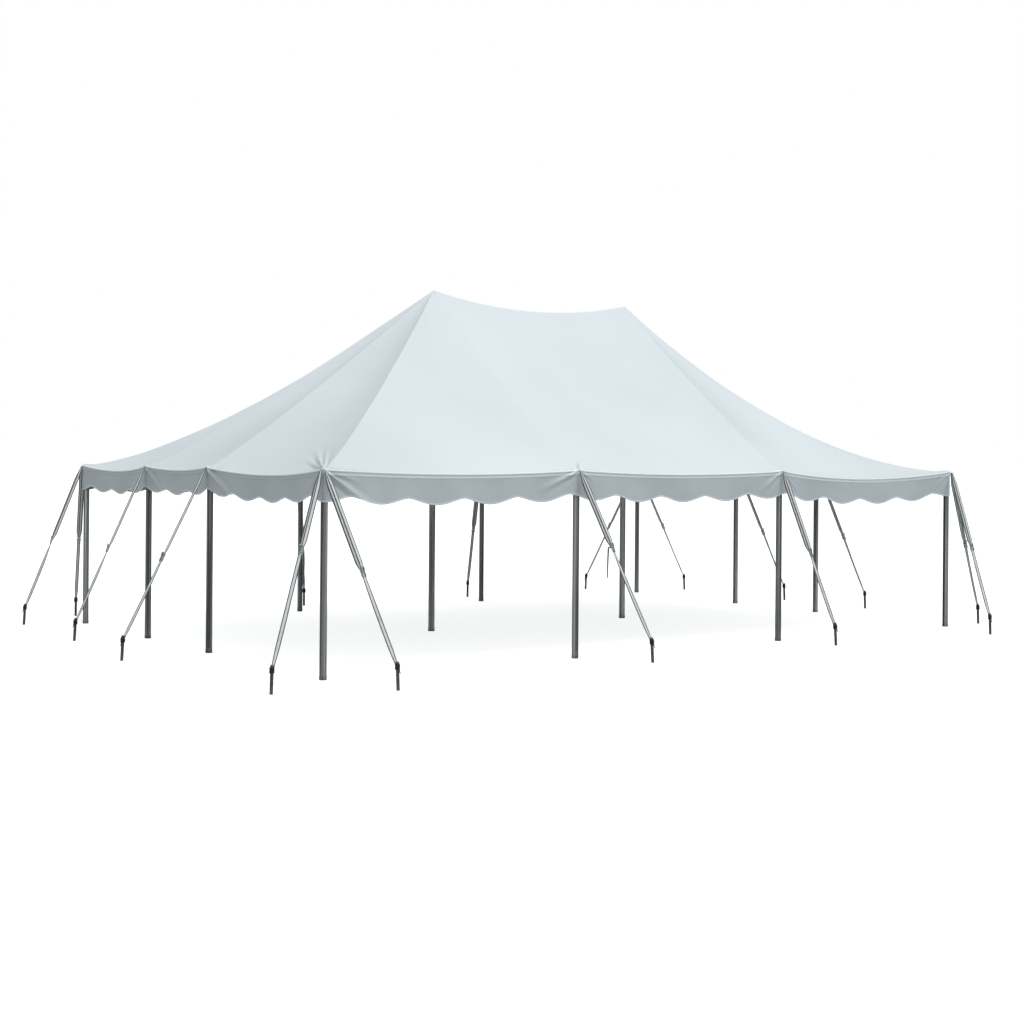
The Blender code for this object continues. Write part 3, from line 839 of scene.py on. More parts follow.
@dataclass(frozen=True)
class WebbingFinish:
    """Ribbed pale polyester webbing with a dark stripe along its left edge and a thin one on its right; on
    the ply in shadow the left stripe is widened into a painted shadow.
    """

    name: str
    left_stripe: float
    colour: Colour = (0.720, 0.738, 0.742)
    ribs: Colour = (0.520, 0.536, 0.540)
    edge: Colour = (0.075, 0.078, 0.080)
    width: float = 0.042
    right_stripe: float = 0.0095
    rib: float = 0.0024
    thread: float = 0.0030

    def make(self) -> Material:
        """Build the material."""
        tree = ShaderTree(self.name)
        place = tree.add("UVMap", uv_map="strap").outputs[0]
        across = tree.uv("strap").outputs[0]
        inputs = {"Vector": place, "Scale": WAVE_SCALE / self.rib, "Distortion": 0.6}
        ribs = tree.add("TexWave", inputs, bands_direction="Y")
        inputs = {"Vector": place, "Scale": WAVE_SCALE / self.thread}
        threads = tree.add("TexWave", inputs, bands_direction="X")
        cloth = tree.product(ribs.outputs[1], threads.outputs[1])
        colour = tree.mix(self.colour, self.ribs, tree.product(cloth, 0.5))
        soil = tree.patches(16.0, 5.0, 0.48, 0.78)
        colour = tree.stain(colour, (0.27, 0.275, 0.27), soil, 0.35)
        left = tree.ramp(across, self.left_stripe + 0.001, self.left_stripe - 0.001)
        inner = self.width - self.right_stripe
        right = tree.ramp(across, inner - 0.001, inner + 0.001)
        colour = tree.mix(colour, self.edge, tree.larger(left, right))
        tree.bump(cloth, 0.0006, 0.8)
        return tree.finish(colour, 0.78, Sheen_Weight=0.15)


@dataclass(frozen=True)
class CordFinish:
    """Black braided tie."""

    name: str = "black_webbing"
    colour: Colour = (0.016, 0.016, 0.018)

    def make(self) -> Material:
        """Build the material."""
        tree = ShaderTree(self.name)
        fray = tree.patches(220.0, 4.0, 0.50, 0.75)
        colour = tree.mix(self.colour, (0.080, 0.080, 0.080), tree.product(fray, 0.7))
        tree.bump(tree.noise(420.0, 2.0), 0.0008, 0.9)
        return tree.finish(colour, 0.82)


@dataclass(frozen=True)
class PlatedFinish:
    """Zinc plate, scratched, with dark dirt in its corners."""

    name: str = "plated_steel"
    colour: Colour = (0.520, 0.530, 0.535)

    def make(self) -> Material:
        """Build the material."""
        tree = ShaderTree(self.name)
        grain = tree.patches(60.0, 6.0, 0.42, 0.75)
        colour = tree.mix(self.colour, (0.190, 0.193, 0.196), grain)
        drawn = tree.stretched(tree.object_place(), (60.0, 60.0, 600.0))
        scratch = tree.ramp(tree.noise(1.0, 4.0, drawn), 0.60, 0.68)
        colour = tree.stain(colour, (0.600, 0.610, 0.615), scratch, 0.6)
        tree.bump(grain, 0.0004, 0.4)
        roughness = tree.linear(grain, 0.30, 0.30)
        return tree.finish(colour, roughness, Metallic=0.60)


@dataclass(frozen=True)
class StakeFinish:
    """Bare round steel: rust and soil near the ground, bright bruises on the driven head."""

    name: str = "stake_steel_bar"
    colour: Colour = (0.125, 0.125, 0.124)

    def make(self) -> Material:
        """Build the material."""
        tree = ShaderTree(self.name)
        height = tree.add("SeparateXYZ", {0: tree.object_place()}).outputs[2]
        pits = tree.patches(70.0, 6.0, 0.38, 0.62)
        colour = tree.mix(self.colour, (0.030, 0.030, 0.030), tree.product(pits, 0.75))
        rust = tree.patches(45.0, 6.0, 0.50, 0.75)
        colour = tree.stain(colour, (0.120, 0.095, 0.078), rust, 0.5)
        soil = tree.product(tree.ramp(height, 0.09, 0.0), tree.patches(70.0, 5.0, 0.30, 0.60))
        colour = tree.stain(colour, (0.21, 0.195, 0.175), soil, 0.7)
        bruise = tree.product(tree.ramp(height, 0.252, 0.260), tree.patches(160.0, 4.0, 0.40, 0.65))
        colour = tree.mix(colour, (0.34, 0.34, 0.34), bruise)
        tree.bump(tree.noise(120.0, 4.0), 0.0012, 0.7)
        return tree.finish(colour, 0.52, Metallic=0.45)


@dataclass(frozen=True)
class FloorFinish:
    """Plain pale studio floor that shows paler than it lights the tent, so shadows on it stay light."""

    name: str = "studio_floor"
    colour: Colour = (0.50, 0.50, 0.50)
    shown: float = 0.80

    def make(self) -> Material:
        """Build the material."""
        tree = ShaderTree(self.name)
        tree.shader.inputs["Emission Color"].default_value = (1.0, 1.0, 1.0, 1.0)
        tone = tree.mix(self.colour, (0.48, 0.48, 0.48), tree.patches(0.35, 2.0, 0.3, 0.7))
        seen = tree.calculate("MULTIPLY", tree.add("LightPath").outputs["Is Camera Ray"], self.shown)
        tree.feed(tree.shader.inputs["Emission Strength"], seen)
        return tree.finish(tone, 0.9, Specular_IOR_Level=0.1)


# Modelling


class Bench:
    """The hand moves of modelling: primitives, selections and edit operators."""

    @staticmethod
    def clear() -> None:
        """Deselect every object."""
        bpy.ops.object.select_all(action="DESELECT")

    @classmethod
    def take(cls, item: Item) -> None:
        """Select one object and make it active."""
        cls.clear()
        item.select_set(True)
        bpy.context.view_layer.objects.active = item

    @staticmethod
    def settle(name: str) -> Item:
        """Put the active object's place in its mesh and name it."""
        item = bpy.context.view_layer.objects.active
        bpy.ops.object.transform_apply(location=True, rotation=True, scale=True)
        item.name = item.data.name = name
        return item

    @classmethod
    def block(
        cls, name: str, size: Sequence[float], centre: Sequence[float], turn: Sequence[float] = (0, 0, 0),
    ) -> Item:
        """A block of a size about its centre."""
        cls.clear()
        bpy.ops.mesh.primitive_cube_add(size=1.0, location=centre, rotation=turn, scale=size)
        return cls.settle(name)

    @classmethod
    def rod(
        cls, name: str, radius: float, length: float, centre: Sequence[float],
        turn: Sequence[float] = (0, 0, 0), sides: int = 32,
    ) -> Item:
        """A round bar about its centre, along Z before it is turned."""
        cls.clear()
        bpy.ops.mesh.primitive_cylinder_add(
            vertices=sides, radius=radius, depth=length, location=centre, rotation=turn
        )
        return cls.settle(name)

    @classmethod
    def hoop(
        cls, name: str, radius: float, bar: float, centre: Sequence[float],
        turn: Sequence[float] = (0, 0, 0), steps: tuple[int, int] = (28, 10),
    ) -> Item:
        """A round ring about its centre, flat before it is turned."""
        cls.clear()
        bpy.ops.mesh.primitive_torus_add(
            major_radius=radius, minor_radius=bar, major_segments=steps[0], minor_segments=steps[1],
            location=centre, rotation=turn,
        )
        return cls.settle(name)

    @classmethod
    def strip(cls, name: str, across: int, along: int) -> Item:
        """A flat strip one metre wide and long, in a grid."""
        cls.clear()
        bpy.ops.mesh.primitive_grid_add(x_subdivisions=across, y_subdivisions=along, size=1.0)
        return cls.settle(name)

    @staticmethod
    def pick(item: Item, mode: str, test: Callable[[Vector], bool]) -> None:
        """Enter edit mode with the wanted elements selected.

        Args:
            item: The object.
            mode: VERT, EDGE or FACE.
            test: Says from an element's centre whether it is wanted.
        """
        bpy.context.view_layer.objects.active = item
        bpy.ops.object.mode_set(mode="EDIT")
        bpy.ops.mesh.select_mode(type=mode)
        bpy.ops.mesh.select_all(action="DESELECT")
        bm = bmesh.from_edit_mesh(item.data)
        if mode == "VERT":
            for vertex in bm.verts:
                vertex.select_set(test(vertex.co))
        elif mode == "EDGE":
            for edge in bm.edges:
                edge.select_set(test((edge.verts[0].co + edge.verts[1].co) / 2))
        else:
            for face in bm.faces:
                face.select_set(test(face.calc_center_median()))
        bm.select_flush_mode()
        bmesh.update_edit_mesh(item.data)

    @staticmethod
    def done() -> None:
        """Leave edit mode."""
        bpy.ops.object.mode_set(mode="OBJECT")

    @staticmethod
    def inset(distance: float) -> None:
        """Inset the selected faces."""
        bpy.ops.mesh.inset(thickness=distance)

    @staticmethod
    def pull(offset: Sequence[float]) -> None:
        """Extrude the selected faces by an offset."""
        bpy.ops.mesh.extrude_region_move(TRANSFORM_OT_translate={"value": offset})

    @staticmethod
    def resize(scale: Sequence[float], centre: Sequence[float]) -> None:
        """Scale the selection about a point."""
        bpy.ops.transform.resize(value=scale, center_override=centre)

    @classmethod
    def soften(cls, item: Item, width: float, segments: int = 2, angle: float = 40.0) -> None:
        """Round every edge that is sharper than an angle.

        Args:
            item: The object.
            width: The width of the round.
            segments: The flats that it is made of.
            angle: The least angle that is rounded, in degrees.
        """
        cls.take(item)
        bevel = item.modifiers.new("edge", "BEVEL")
        bevel.width, bevel.segments = width, segments
        bevel.limit_method, bevel.angle_limit = "ANGLE", math.radians(angle)
        bevel.harden_normals = False
        bpy.ops.object.modifier_apply(modifier=bevel.name)

    @classmethod
    def thicken(cls, item: Item, thickness: float, offset: float = -1.0) -> None:
        """Give a sheet its thickness.

        Args:
            item: The sheet.
            thickness: Its thickness.
            offset: -1 grows inwards from the surface, 0 to both sides.
        """
        cls.take(item)
        solid = item.modifiers.new("thickness", "SOLIDIFY")
        solid.thickness, solid.offset = thickness, offset
        bpy.ops.object.modifier_apply(modifier=solid.name)

    @classmethod
    def smooth(cls, item: Item, angle: float = 35.0) -> None:
        """Shade an object smooth, but for edges sharper than an angle."""
        cls.take(item)
        bpy.ops.object.shade_smooth_by_angle(angle=math.radians(angle))

    @classmethod
    def join(cls, name: str, items: Sequence[Item]) -> Item:
        """Join several objects into the first."""
        cls.clear()
        for item in items:
            item.select_set(True)
        bpy.context.view_layer.objects.active = items[0]
        bpy.ops.object.join()
        items[0].name = items[0].data.name = name
        return items[0]

    @staticmethod
    def copy(pattern: Item, name: str, place: Matrix) -> Item:
        """A copy of a finished pattern, with its own mesh at its own place."""
        item = bpy.data.objects.new(name, pattern.data.copy())
        item.data.name = name
        item.data.transform(place)
        bpy.context.scene.collection.objects.link(item)
        return item


def show(item: Item, finish: Material | None, nodes: Sequence[str] = ()) -> Item:
    """Hand a finished piece over to the tent.

    Args:
        item: The piece.
        finish: Its material, or None where it has its own already.
        nodes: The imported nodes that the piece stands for.

    Returns:
        The piece.
    """
    if finish is not None:
        item.data.materials.clear()
        item.data.materials.append(finish)
    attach(item, BODY)
    if nodes:
        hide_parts(*nodes)
    LOG.info("%s: %d faces", item.name, len(item.data.polygons))
    return item


def graded(length: float, first: float, growth: float, longest: float) -> list[float]:
    """Distances that start close together and spread.

    Args:
        length: The whole distance.
        first: The first step.
        growth: Each step's length over the one before.
        longest: The longest step.

    Returns:
        Distances from 0 to the whole length.
    """
    marks, step = [0.0], first
    while marks[-1] < length:
        marks.append(marks[-1] + step)
        step = min(step * growth, longest)
    scale = length / marks[-1]
    return [mark * scale for mark in marks]


def between_heads(side: TentSide, steps: Sequence[tuple[float, float]], longest: float) -> list[float]:
    """Places along a side, close together at each pole head.

    Args:
        side: The side.
        steps: The first step beside each head, and each step's length over the one before.
        longest: The longest step.

    Returns:
        The places from left to right, the heads among them.
    """
    places = [side.heads[0]]
    for number, (left, right) in enumerate(zip(side.heads, side.heads[1:])):
        rising = graded((right - left) / 2, *steps[number], longest)
        falling = graded((right - left) / 2, *steps[number + 1], longest)
        places += [left + mark for mark in rising[1:]]
        places += [right - mark for mark in falling[-2::-1]]
    return places


class GridSheet:
    """A sheet of cloth that is laid out in rows and columns before it is closed and thickened."""

    def __init__(self, name: str, maps: Sequence[str]) -> None:
        """Start an empty sheet.

        Args:
            name: The piece's name.
            maps: The names of its UV maps.
        """
        self.name = name
        self.bm = bmesh.new()
        self.maps = [self.bm.loops.layers.uv.new(title) for title in maps]
        self.lift = self.bm.verts.layers.float.new("crease")

    def add(
        self,
        columns: Sequence[float],
        rows: Sequence[float],
        point: Callable[[float, float], ClothPoint],
    ) -> None:
        """Lay out one grid.

        Args:
            columns: Places along the sheet.
            rows: Places across it.
            point: Gives a vertex for a column and a row: its place, its lift along the normal
                and its place on each map.
        """
        verts, marks = [], []
        for row in rows:
            for column in columns:
                place, lift, uvs = point(column, row)
                vertex = self.bm.verts.new(place)
                vertex[self.lift] = lift
                verts.append(vertex)
                marks.append(uvs)
        wide = len(columns)
        for j in range(len(rows) - 1):
            for i in range(wide - 1):
                ring = (j * wide + i, j * wide + i + 1, (j + 1) * wide + i + 1, (j + 1) * wide + i)
                face = self.bm.faces.new([verts[k] for k in ring])
                face.smooth = True
                for loop, k in zip(face.loops, ring):
                    for layer, uv in zip(self.maps, marks[k]):
                        loop[layer].uv = uv

    def close(self, merge: float = 0.00005) -> Item:
        """Merge the grids where they meet, raise the creases and return the object."""
        bmesh.ops.remove_doubles(self.bm, verts=self.bm.verts[:], dist=merge)
        self.bm.normal_update()
        for vertex in self.bm.verts:
            vertex.co += vertex.normal * vertex[self.lift]
        mesh = bpy.data.meshes.new(self.name)
        self.bm.to_mesh(mesh)
        self.bm.free()
        mesh.attributes.remove(mesh.attributes["crease"])
        item = bpy.data.objects.new(self.name, mesh)
        bpy.context.scene.collection.objects.link(item)
        return item


# Pieces


@dataclass
class Canopy:
    """The roof: one curved membrane with a rolled hem along its eave."""

    plan: TentPlan
    finish: Material
    thickness: float = 0.003
    slope: float = 3.90
    hem_radius: float = 0.009
    billow: float = 0.006
    ripple: float = 0.002
    hem_steps: tuple[float, ...] = (-85.0, -50.0, -15.0, 20.0, 55.0)

    def point(self, side: TentSide, place: float, row: float) -> ClothPoint:
        """A vertex of the membrane.

        Args:
            side: The side it lies on.
            place: Its column's place on the eave.
            row: Distance up the slope; below zero it is an angle round the hem less 1000.

        Returns:
            Its place, its lift and its UVs.
        """
        if row < 0:
            return self.hem_point(side, place, row + 1000.0)
        height = row / self.slope
        along, out, z = side.roof(place, height)
        lift = side.creases(side.roof_folds, along, row - 0.015)
        calm = min(row / 0.25, 1.0) * min((self.slope - row) / 0.4, 1.0)
        spot = side.to_tent(along, out, z)
        lift += calm * self.billow * noise.noise(spot * 1.3)
        lift += calm * self.ripple * noise.noise(spot * 4.0)
        along, out, _, _ = side.rounded(along, out)
        ridge = self.slope - row if side.bay(place)[0] == 1 and side.ridge_sag else 1.0
        return side.to_tent(along, out, z), lift, [(place, row), (side.seam_distance(place, height), ridge)]

    def hem_point(self, side: TentSide, place: float, angle: float) -> ClothPoint:
        """A vertex of the rolled hem.

        Args:
            side: The side it lies on.
            place: Its place on the eave.
            angle: Degrees round the hem, 90 at the top and -90 underneath.

        Returns:
            Its place, its lift and its UVs.
        """
        turn = math.radians(angle)
        along, out, z = side.roof(place, 0.0)
        reach = self.hem_radius * math.cos(turn)
        z += self.hem_radius * (math.sin(turn) - 1)
        lift = 0.5 * side.creases(side.roof_folds, along, -0.005) * max(math.sin(turn), 0.0)
        along, out, ahead, outward = side.rounded(along, out)
        spot = side.to_tent(along + reach * ahead, out + reach * outward, z)
        around = -self.hem_radius * (math.pi / 2 - turn)
        return spot, lift, [(place, around), (1.0, 1.0)]

    def build(self) -> Item:
        """Shape, thicken and dress the membrane."""
        sheet = GridSheet("canopy", ("cloth", "seams"))
        rows = [angle - 1000.0 for angle in self.hem_steps] + graded(self.slope, 0.009, 1.055, 0.14)
        for side in self.plan.sides():
            columns = between_heads(side, side.head_steps, 0.16)
            sheet.add(columns, rows, lambda place, row, side=side: self.point(side, place, row))
        item = sheet.close()
        Bench.thicken(item, self.thickness)
        Bench.smooth(item, 60.0)
        show(item, self.finish, [f"roof_{edge.value}" for edge in Edge])
        poles = [f"pole_tube_{label}" for label, _, _ in self.plan.side_pole_places()]
        return item


@dataclass
class Valance:
    """The scalloped band that hangs from one side of the eave, and the tape along its edge."""

    side: TentSide
    finish: Material
    tape: Material
    thickness: float = 0.003
    behind: float = 0.004
    pole_room: float = 0.002
    cusp_depth: float = 0.245
    lobe_depth: float = 0.310
    end_cusp_depth: float = 0.230
    end_lobe_depth: float = 0.280
    roundness: float = 0.72
    band_depth: float = 0.047
    band_proud: float = 0.0025
    lower_rows: int = 20
    billow: float = 0.010
    ripple: float = 0.004
    ripples_per_metre: float = 0.76
    top_calm: float = 0.12
    end_calm: float = 0.10
    bands: tuple[float, ...] = (0.0, 0.012, 0.024, 0.036, 0.0465, 0.0475, 0.0490, 0.060)
    tape_height: float = 0.015
    tape_thickness: float = 0.0016

    def depth(self, place: float) -> float:
        """How deep the valance is at a place: round lobes, with the middle of one at each end.

        The ends of the tent have a shallower valance, as deep as the others at its corner lobes.
        """
        half, lobes = self.side.half_along, self.side.lobes
        wave = (math.cos(math.pi * (place + half) / (2 * half) * lobes) ** 2) ** self.roundness
        is_end = self.side.edge in (Edge.LEFT, Edge.RIGHT)
        inner = min((half - abs(place)) * lobes / half, 1.0) if is_end else 0.0
        cusp = self.cusp_depth + (self.end_cusp_depth - self.cusp_depth) * inner
        lobe = self.lobe_depth + (self.end_lobe_depth - self.lobe_depth) * inner
        return cusp + (lobe - cusp) * wave

    def surface(self, place: float, down: float, offset: float = 0.0) -> Vector:
        """A point of the valance's outer face.

        Args:
            place: A place along the side.
            down: Distance down from its top.
            offset: Distance outside the face.

        Returns:
            The point.
        """
        side = self.side
        limit = side.half_along - self.behind - 0.0002
        along = min(max(place, -limit), limit)
        out = side.half_across - side.bow(place) - self.behind
        lift = side.creases(side.valance_folds, along, -down)
        calm = min(down / self.top_calm, 1.0) * min((side.half_along - abs(along)) / self.end_calm, 1.0)
        lift += calm * self.billow * noise.noise(side.to_tent(along * 1.1, 7.0, 0.8 * down))
        turns = (along + side.half_along) * self.ripples_per_metre
        lift += calm * (down / 0.3) ** 2 * self.ripple * math.sin(2 * math.pi * turns)
        lift += self.band_proud * (1.0 - min(max((down - self.band_depth) / 0.002, 0.0), 1.0))
        lift = max(lift, -self.pole_room - max(min(abs(along - pole) for pole in side.poles) - 0.04, 0.0))
        along, out, ahead, outward = side.rounded(along, out)
        reach = lift + offset
        z = side.eave_height - side.drop(place) + side.point(place) * math.exp(-down / 0.10) - 0.005 - down
        return side.to_tent(along + reach * ahead, out + reach * outward, z)

    def columns(self) -> list[float]:
        """Places along the band: close together at the heads, and one at every cusp."""
        side = self.side
        cusps = [-side.half_along + 2 * side.half_along * (i + 0.5) / side.lobes for i in range(side.lobes)]
        spread = between_heads(side, [(0.010, 1.03)] * len(side.heads), 0.027)
        spare = [place for place in spread if min(abs(place - cusp) for cusp in cusps) > 0.004]
        return sorted([*spare, *cusps])

    def build(self) -> Item:
        """Shape and dress the band, then its tape."""
        edge = self.side.edge.value
        sheet = GridSheet(f"valance_band_{edge}", ("cloth",))
        band = self.bands
        rows = [float(i) for i in range(len(band) + self.lower_rows)]

        def point(place: float, row: float) -> ClothPoint:
            number = int(row)
            if number < len(band):
                down = band[number]
            else:
                share = (number - len(band) + 1) / self.lower_rows
                down = band[-1] + (self.depth(place) - band[-1]) * share
            return self.surface(place, down), 0.0, [(place, down)]

        sheet.add(self.columns(), rows[::-1], point)
        item = sheet.close(0.00001)
        Bench.thicken(item, self.thickness)
        Bench.smooth(item, 50.0)
        show(item, self.finish, [f"valance_{edge}"])
        tape = self.build_tape()
        return item

    def build_tape(self) -> Item:
        """The tape that wraps the scalloped edge."""
        outer, inner = self.tape_thickness, -self.thickness - self.tape_thickness
        top, foot = -self.tape_height, self.tape_thickness
        section = [
            (top, outer * 0.4), (top + 0.001, outer), (foot - 0.001, outer), (foot, outer * 0.3),
            (foot, inner + outer * 0.7), (foot - 0.001, inner),
            (top + 0.001, inner), (top, inner + outer * 0.6),
        ]
        bm = bmesh.new()
        rings = []
        for place in self.columns():
            depth = self.depth(place)
            rings.append([bm.verts.new(self.surface(place, depth + down, out)) for down, out in section])
        count = len(section)
        for near, far in zip(rings, rings[1:]):
            for k in range(count):
                face = bm.faces.new((near[k], near[(k + 1) % count], far[(k + 1) % count], far[k]))
                face.smooth = True
        bm.faces.new(rings[0][::-1])
        bm.faces.new(rings[-1])
        bmesh.ops.recalc_face_normals(bm, faces=bm.faces[:])
        name = f"scallop_tape_{self.side.edge.value}"
        mesh = bpy.data.meshes.new(name)
        bm.to_mesh(mesh)
        bm.free()
        item = bpy.data.objects.new(name, mesh)
        bpy.context.scene.collection.objects.link(item)
        Bench.smooth(item, 50.0)
        return show(item, self.tape)


@dataclass
class Poles:
    """The side poles and the two centre poles, each kind modelled once and copied."""

    plan: TentPlan
    finish: Material
    # Painted light: paler copies of the pole finish for the right and back poles and for the centre poles.
    painted_light_finish: Material
    centre_finish: Material
    radius: float = 0.035
    foot_radius: float = 0.037
    foot_height: float = 0.040
    top: float = 1.9967
    plug_height: float = 0.030
    plug_radius: float = 0.026
    centre_radius: float = 0.038
    centre_foot_radius: float = 0.041
    centre_spigot_radius: float = 0.016
    centre_tip_radius: float = 0.003
    centre_taper: float = 0.075
    centre_top: float = 4.1699

    def tube(self, name: str, foot: tuple[float, float], stages: Sequence[tuple[float, float]]) -> Item:
        """A turned pole, drawn up from its foot.

        Args:
            name: The pattern's name.
            foot: The foot's radius and height.
            stages: The radius and height of each ring above it.

        Returns:
            The pole, standing on the ground at the origin.
        """
        radius, height = foot
        item = Bench.rod(name, radius, height, (0, 0, height / 2))
        Bench.pick(item, "FACE", lambda centre: centre.z > height - 1e-6)
        Bench.inset(radius - stages[0][0])
        radius = stages[0][0]
        for wide, high in stages[1:]:
            Bench.pull((0, 0, high - height))
            Bench.resize((wide / radius, wide / radius, 1.0), (0, 0, high))
            radius, height = wide, high
        Bench.done()
        Bench.soften(item, 0.0025, 2, 20.0)
        Bench.smooth(item)
        return item

    def finish_for(self, label: str) -> Material:
        """The finish of a side pole: those on the right and at the back get a paler copy, painted light
        that makes up for the canopy's shade on them.
        """
        return self.painted_light_finish if label.startswith(("right", "back")) else self.finish

    def build(self) -> list[Item]:
        """Model both kinds and set them up."""
        shoulder = self.top - self.plug_height
        side = self.tube(
            "side_pole", (self.foot_radius, self.foot_height),
            [(self.radius, 0.0), (self.radius, shoulder), (self.plug_radius, self.top)],
        )
        taper, high = self.centre_taper, self.centre_top
        centre = self.tube(
            "centre_pole", (self.centre_foot_radius, self.foot_height),
            [
                (self.centre_radius, 0.0), (self.centre_radius, high - 3 * taper),
                (self.centre_spigot_radius, high - 2 * taper),
                (self.centre_spigot_radius, high - taper / 2),
                (self.centre_tip_radius, high),
            ],
        )
        made = []
        for label, x, y in self.plan.side_pole_places():
            item = Bench.copy(side, f"pole_tube_{label}", Matrix.Translation((x, y, 0)))
            made.append(show(item, self.finish_for(label), [f"pole_{label}"]))
        for label, x in zip(("left", "right"), self.plan.peaks):
            item = Bench.copy(centre, f"centre_pole_tube_{label}", Matrix.Translation((x, 0, 0)))
            made.append(show(item, self.centre_finish, [f"centre_pole_{label}"]))
        for pattern in (side, centre):
            bpy.data.objects.remove(pattern, do_unlink=True)
        return made


@dataclass
class Stakes:
    """The driven steel stakes, as far as they stand above the ground."""

    plan: TentPlan
    finish: Material
    radius: float = 0.016
    height: float = 0.260
    lean: float = math.radians(3)

    def pattern(self) -> Item:
        """One stake, leaning to -X and cut level with the ground."""
        length = self.height / math.cos(self.lean)
        item = Bench.rod("stake", self.radius, 2 * length, (0, 0, 0), (0, -self.lean, 0), 24)
        head = Vector((-math.sin(self.lean), 0, math.cos(self.lean)))
        Bench.pick(item, "FACE", lambda centre: centre.dot(head) > length - 1e-4)
        Bench.inset(0.003)
        bpy.ops.transform.translate(value=tuple(head * 0.0015))
        bpy.ops.mesh.select_all(action="SELECT")
        bpy.ops.mesh.bisect(plane_co=(0, 0, 0), plane_no=(0, 0, 1), use_fill=True, clear_inner=True)
        Bench.done()
        Bench.soften(item, 0.0015, 2, 20.0)
        Bench.smooth(item)
        return item

    def build(self) -> list[Item]:
        """Model one stake and copy it to each guy."""
        pattern = self.pattern()
        made = []
        for guy in self.plan.guys():
            place = guy.placement @ Matrix.Translation((guy.reach, 0, 0))
            item = Bench.copy(pattern, f"stake_bar_{guy.label}", place)
            made.append(show(item, self.finish, [f"stake_{guy.label}"]))
        bpy.data.objects.remove(pattern, do_unlink=True)
        return made


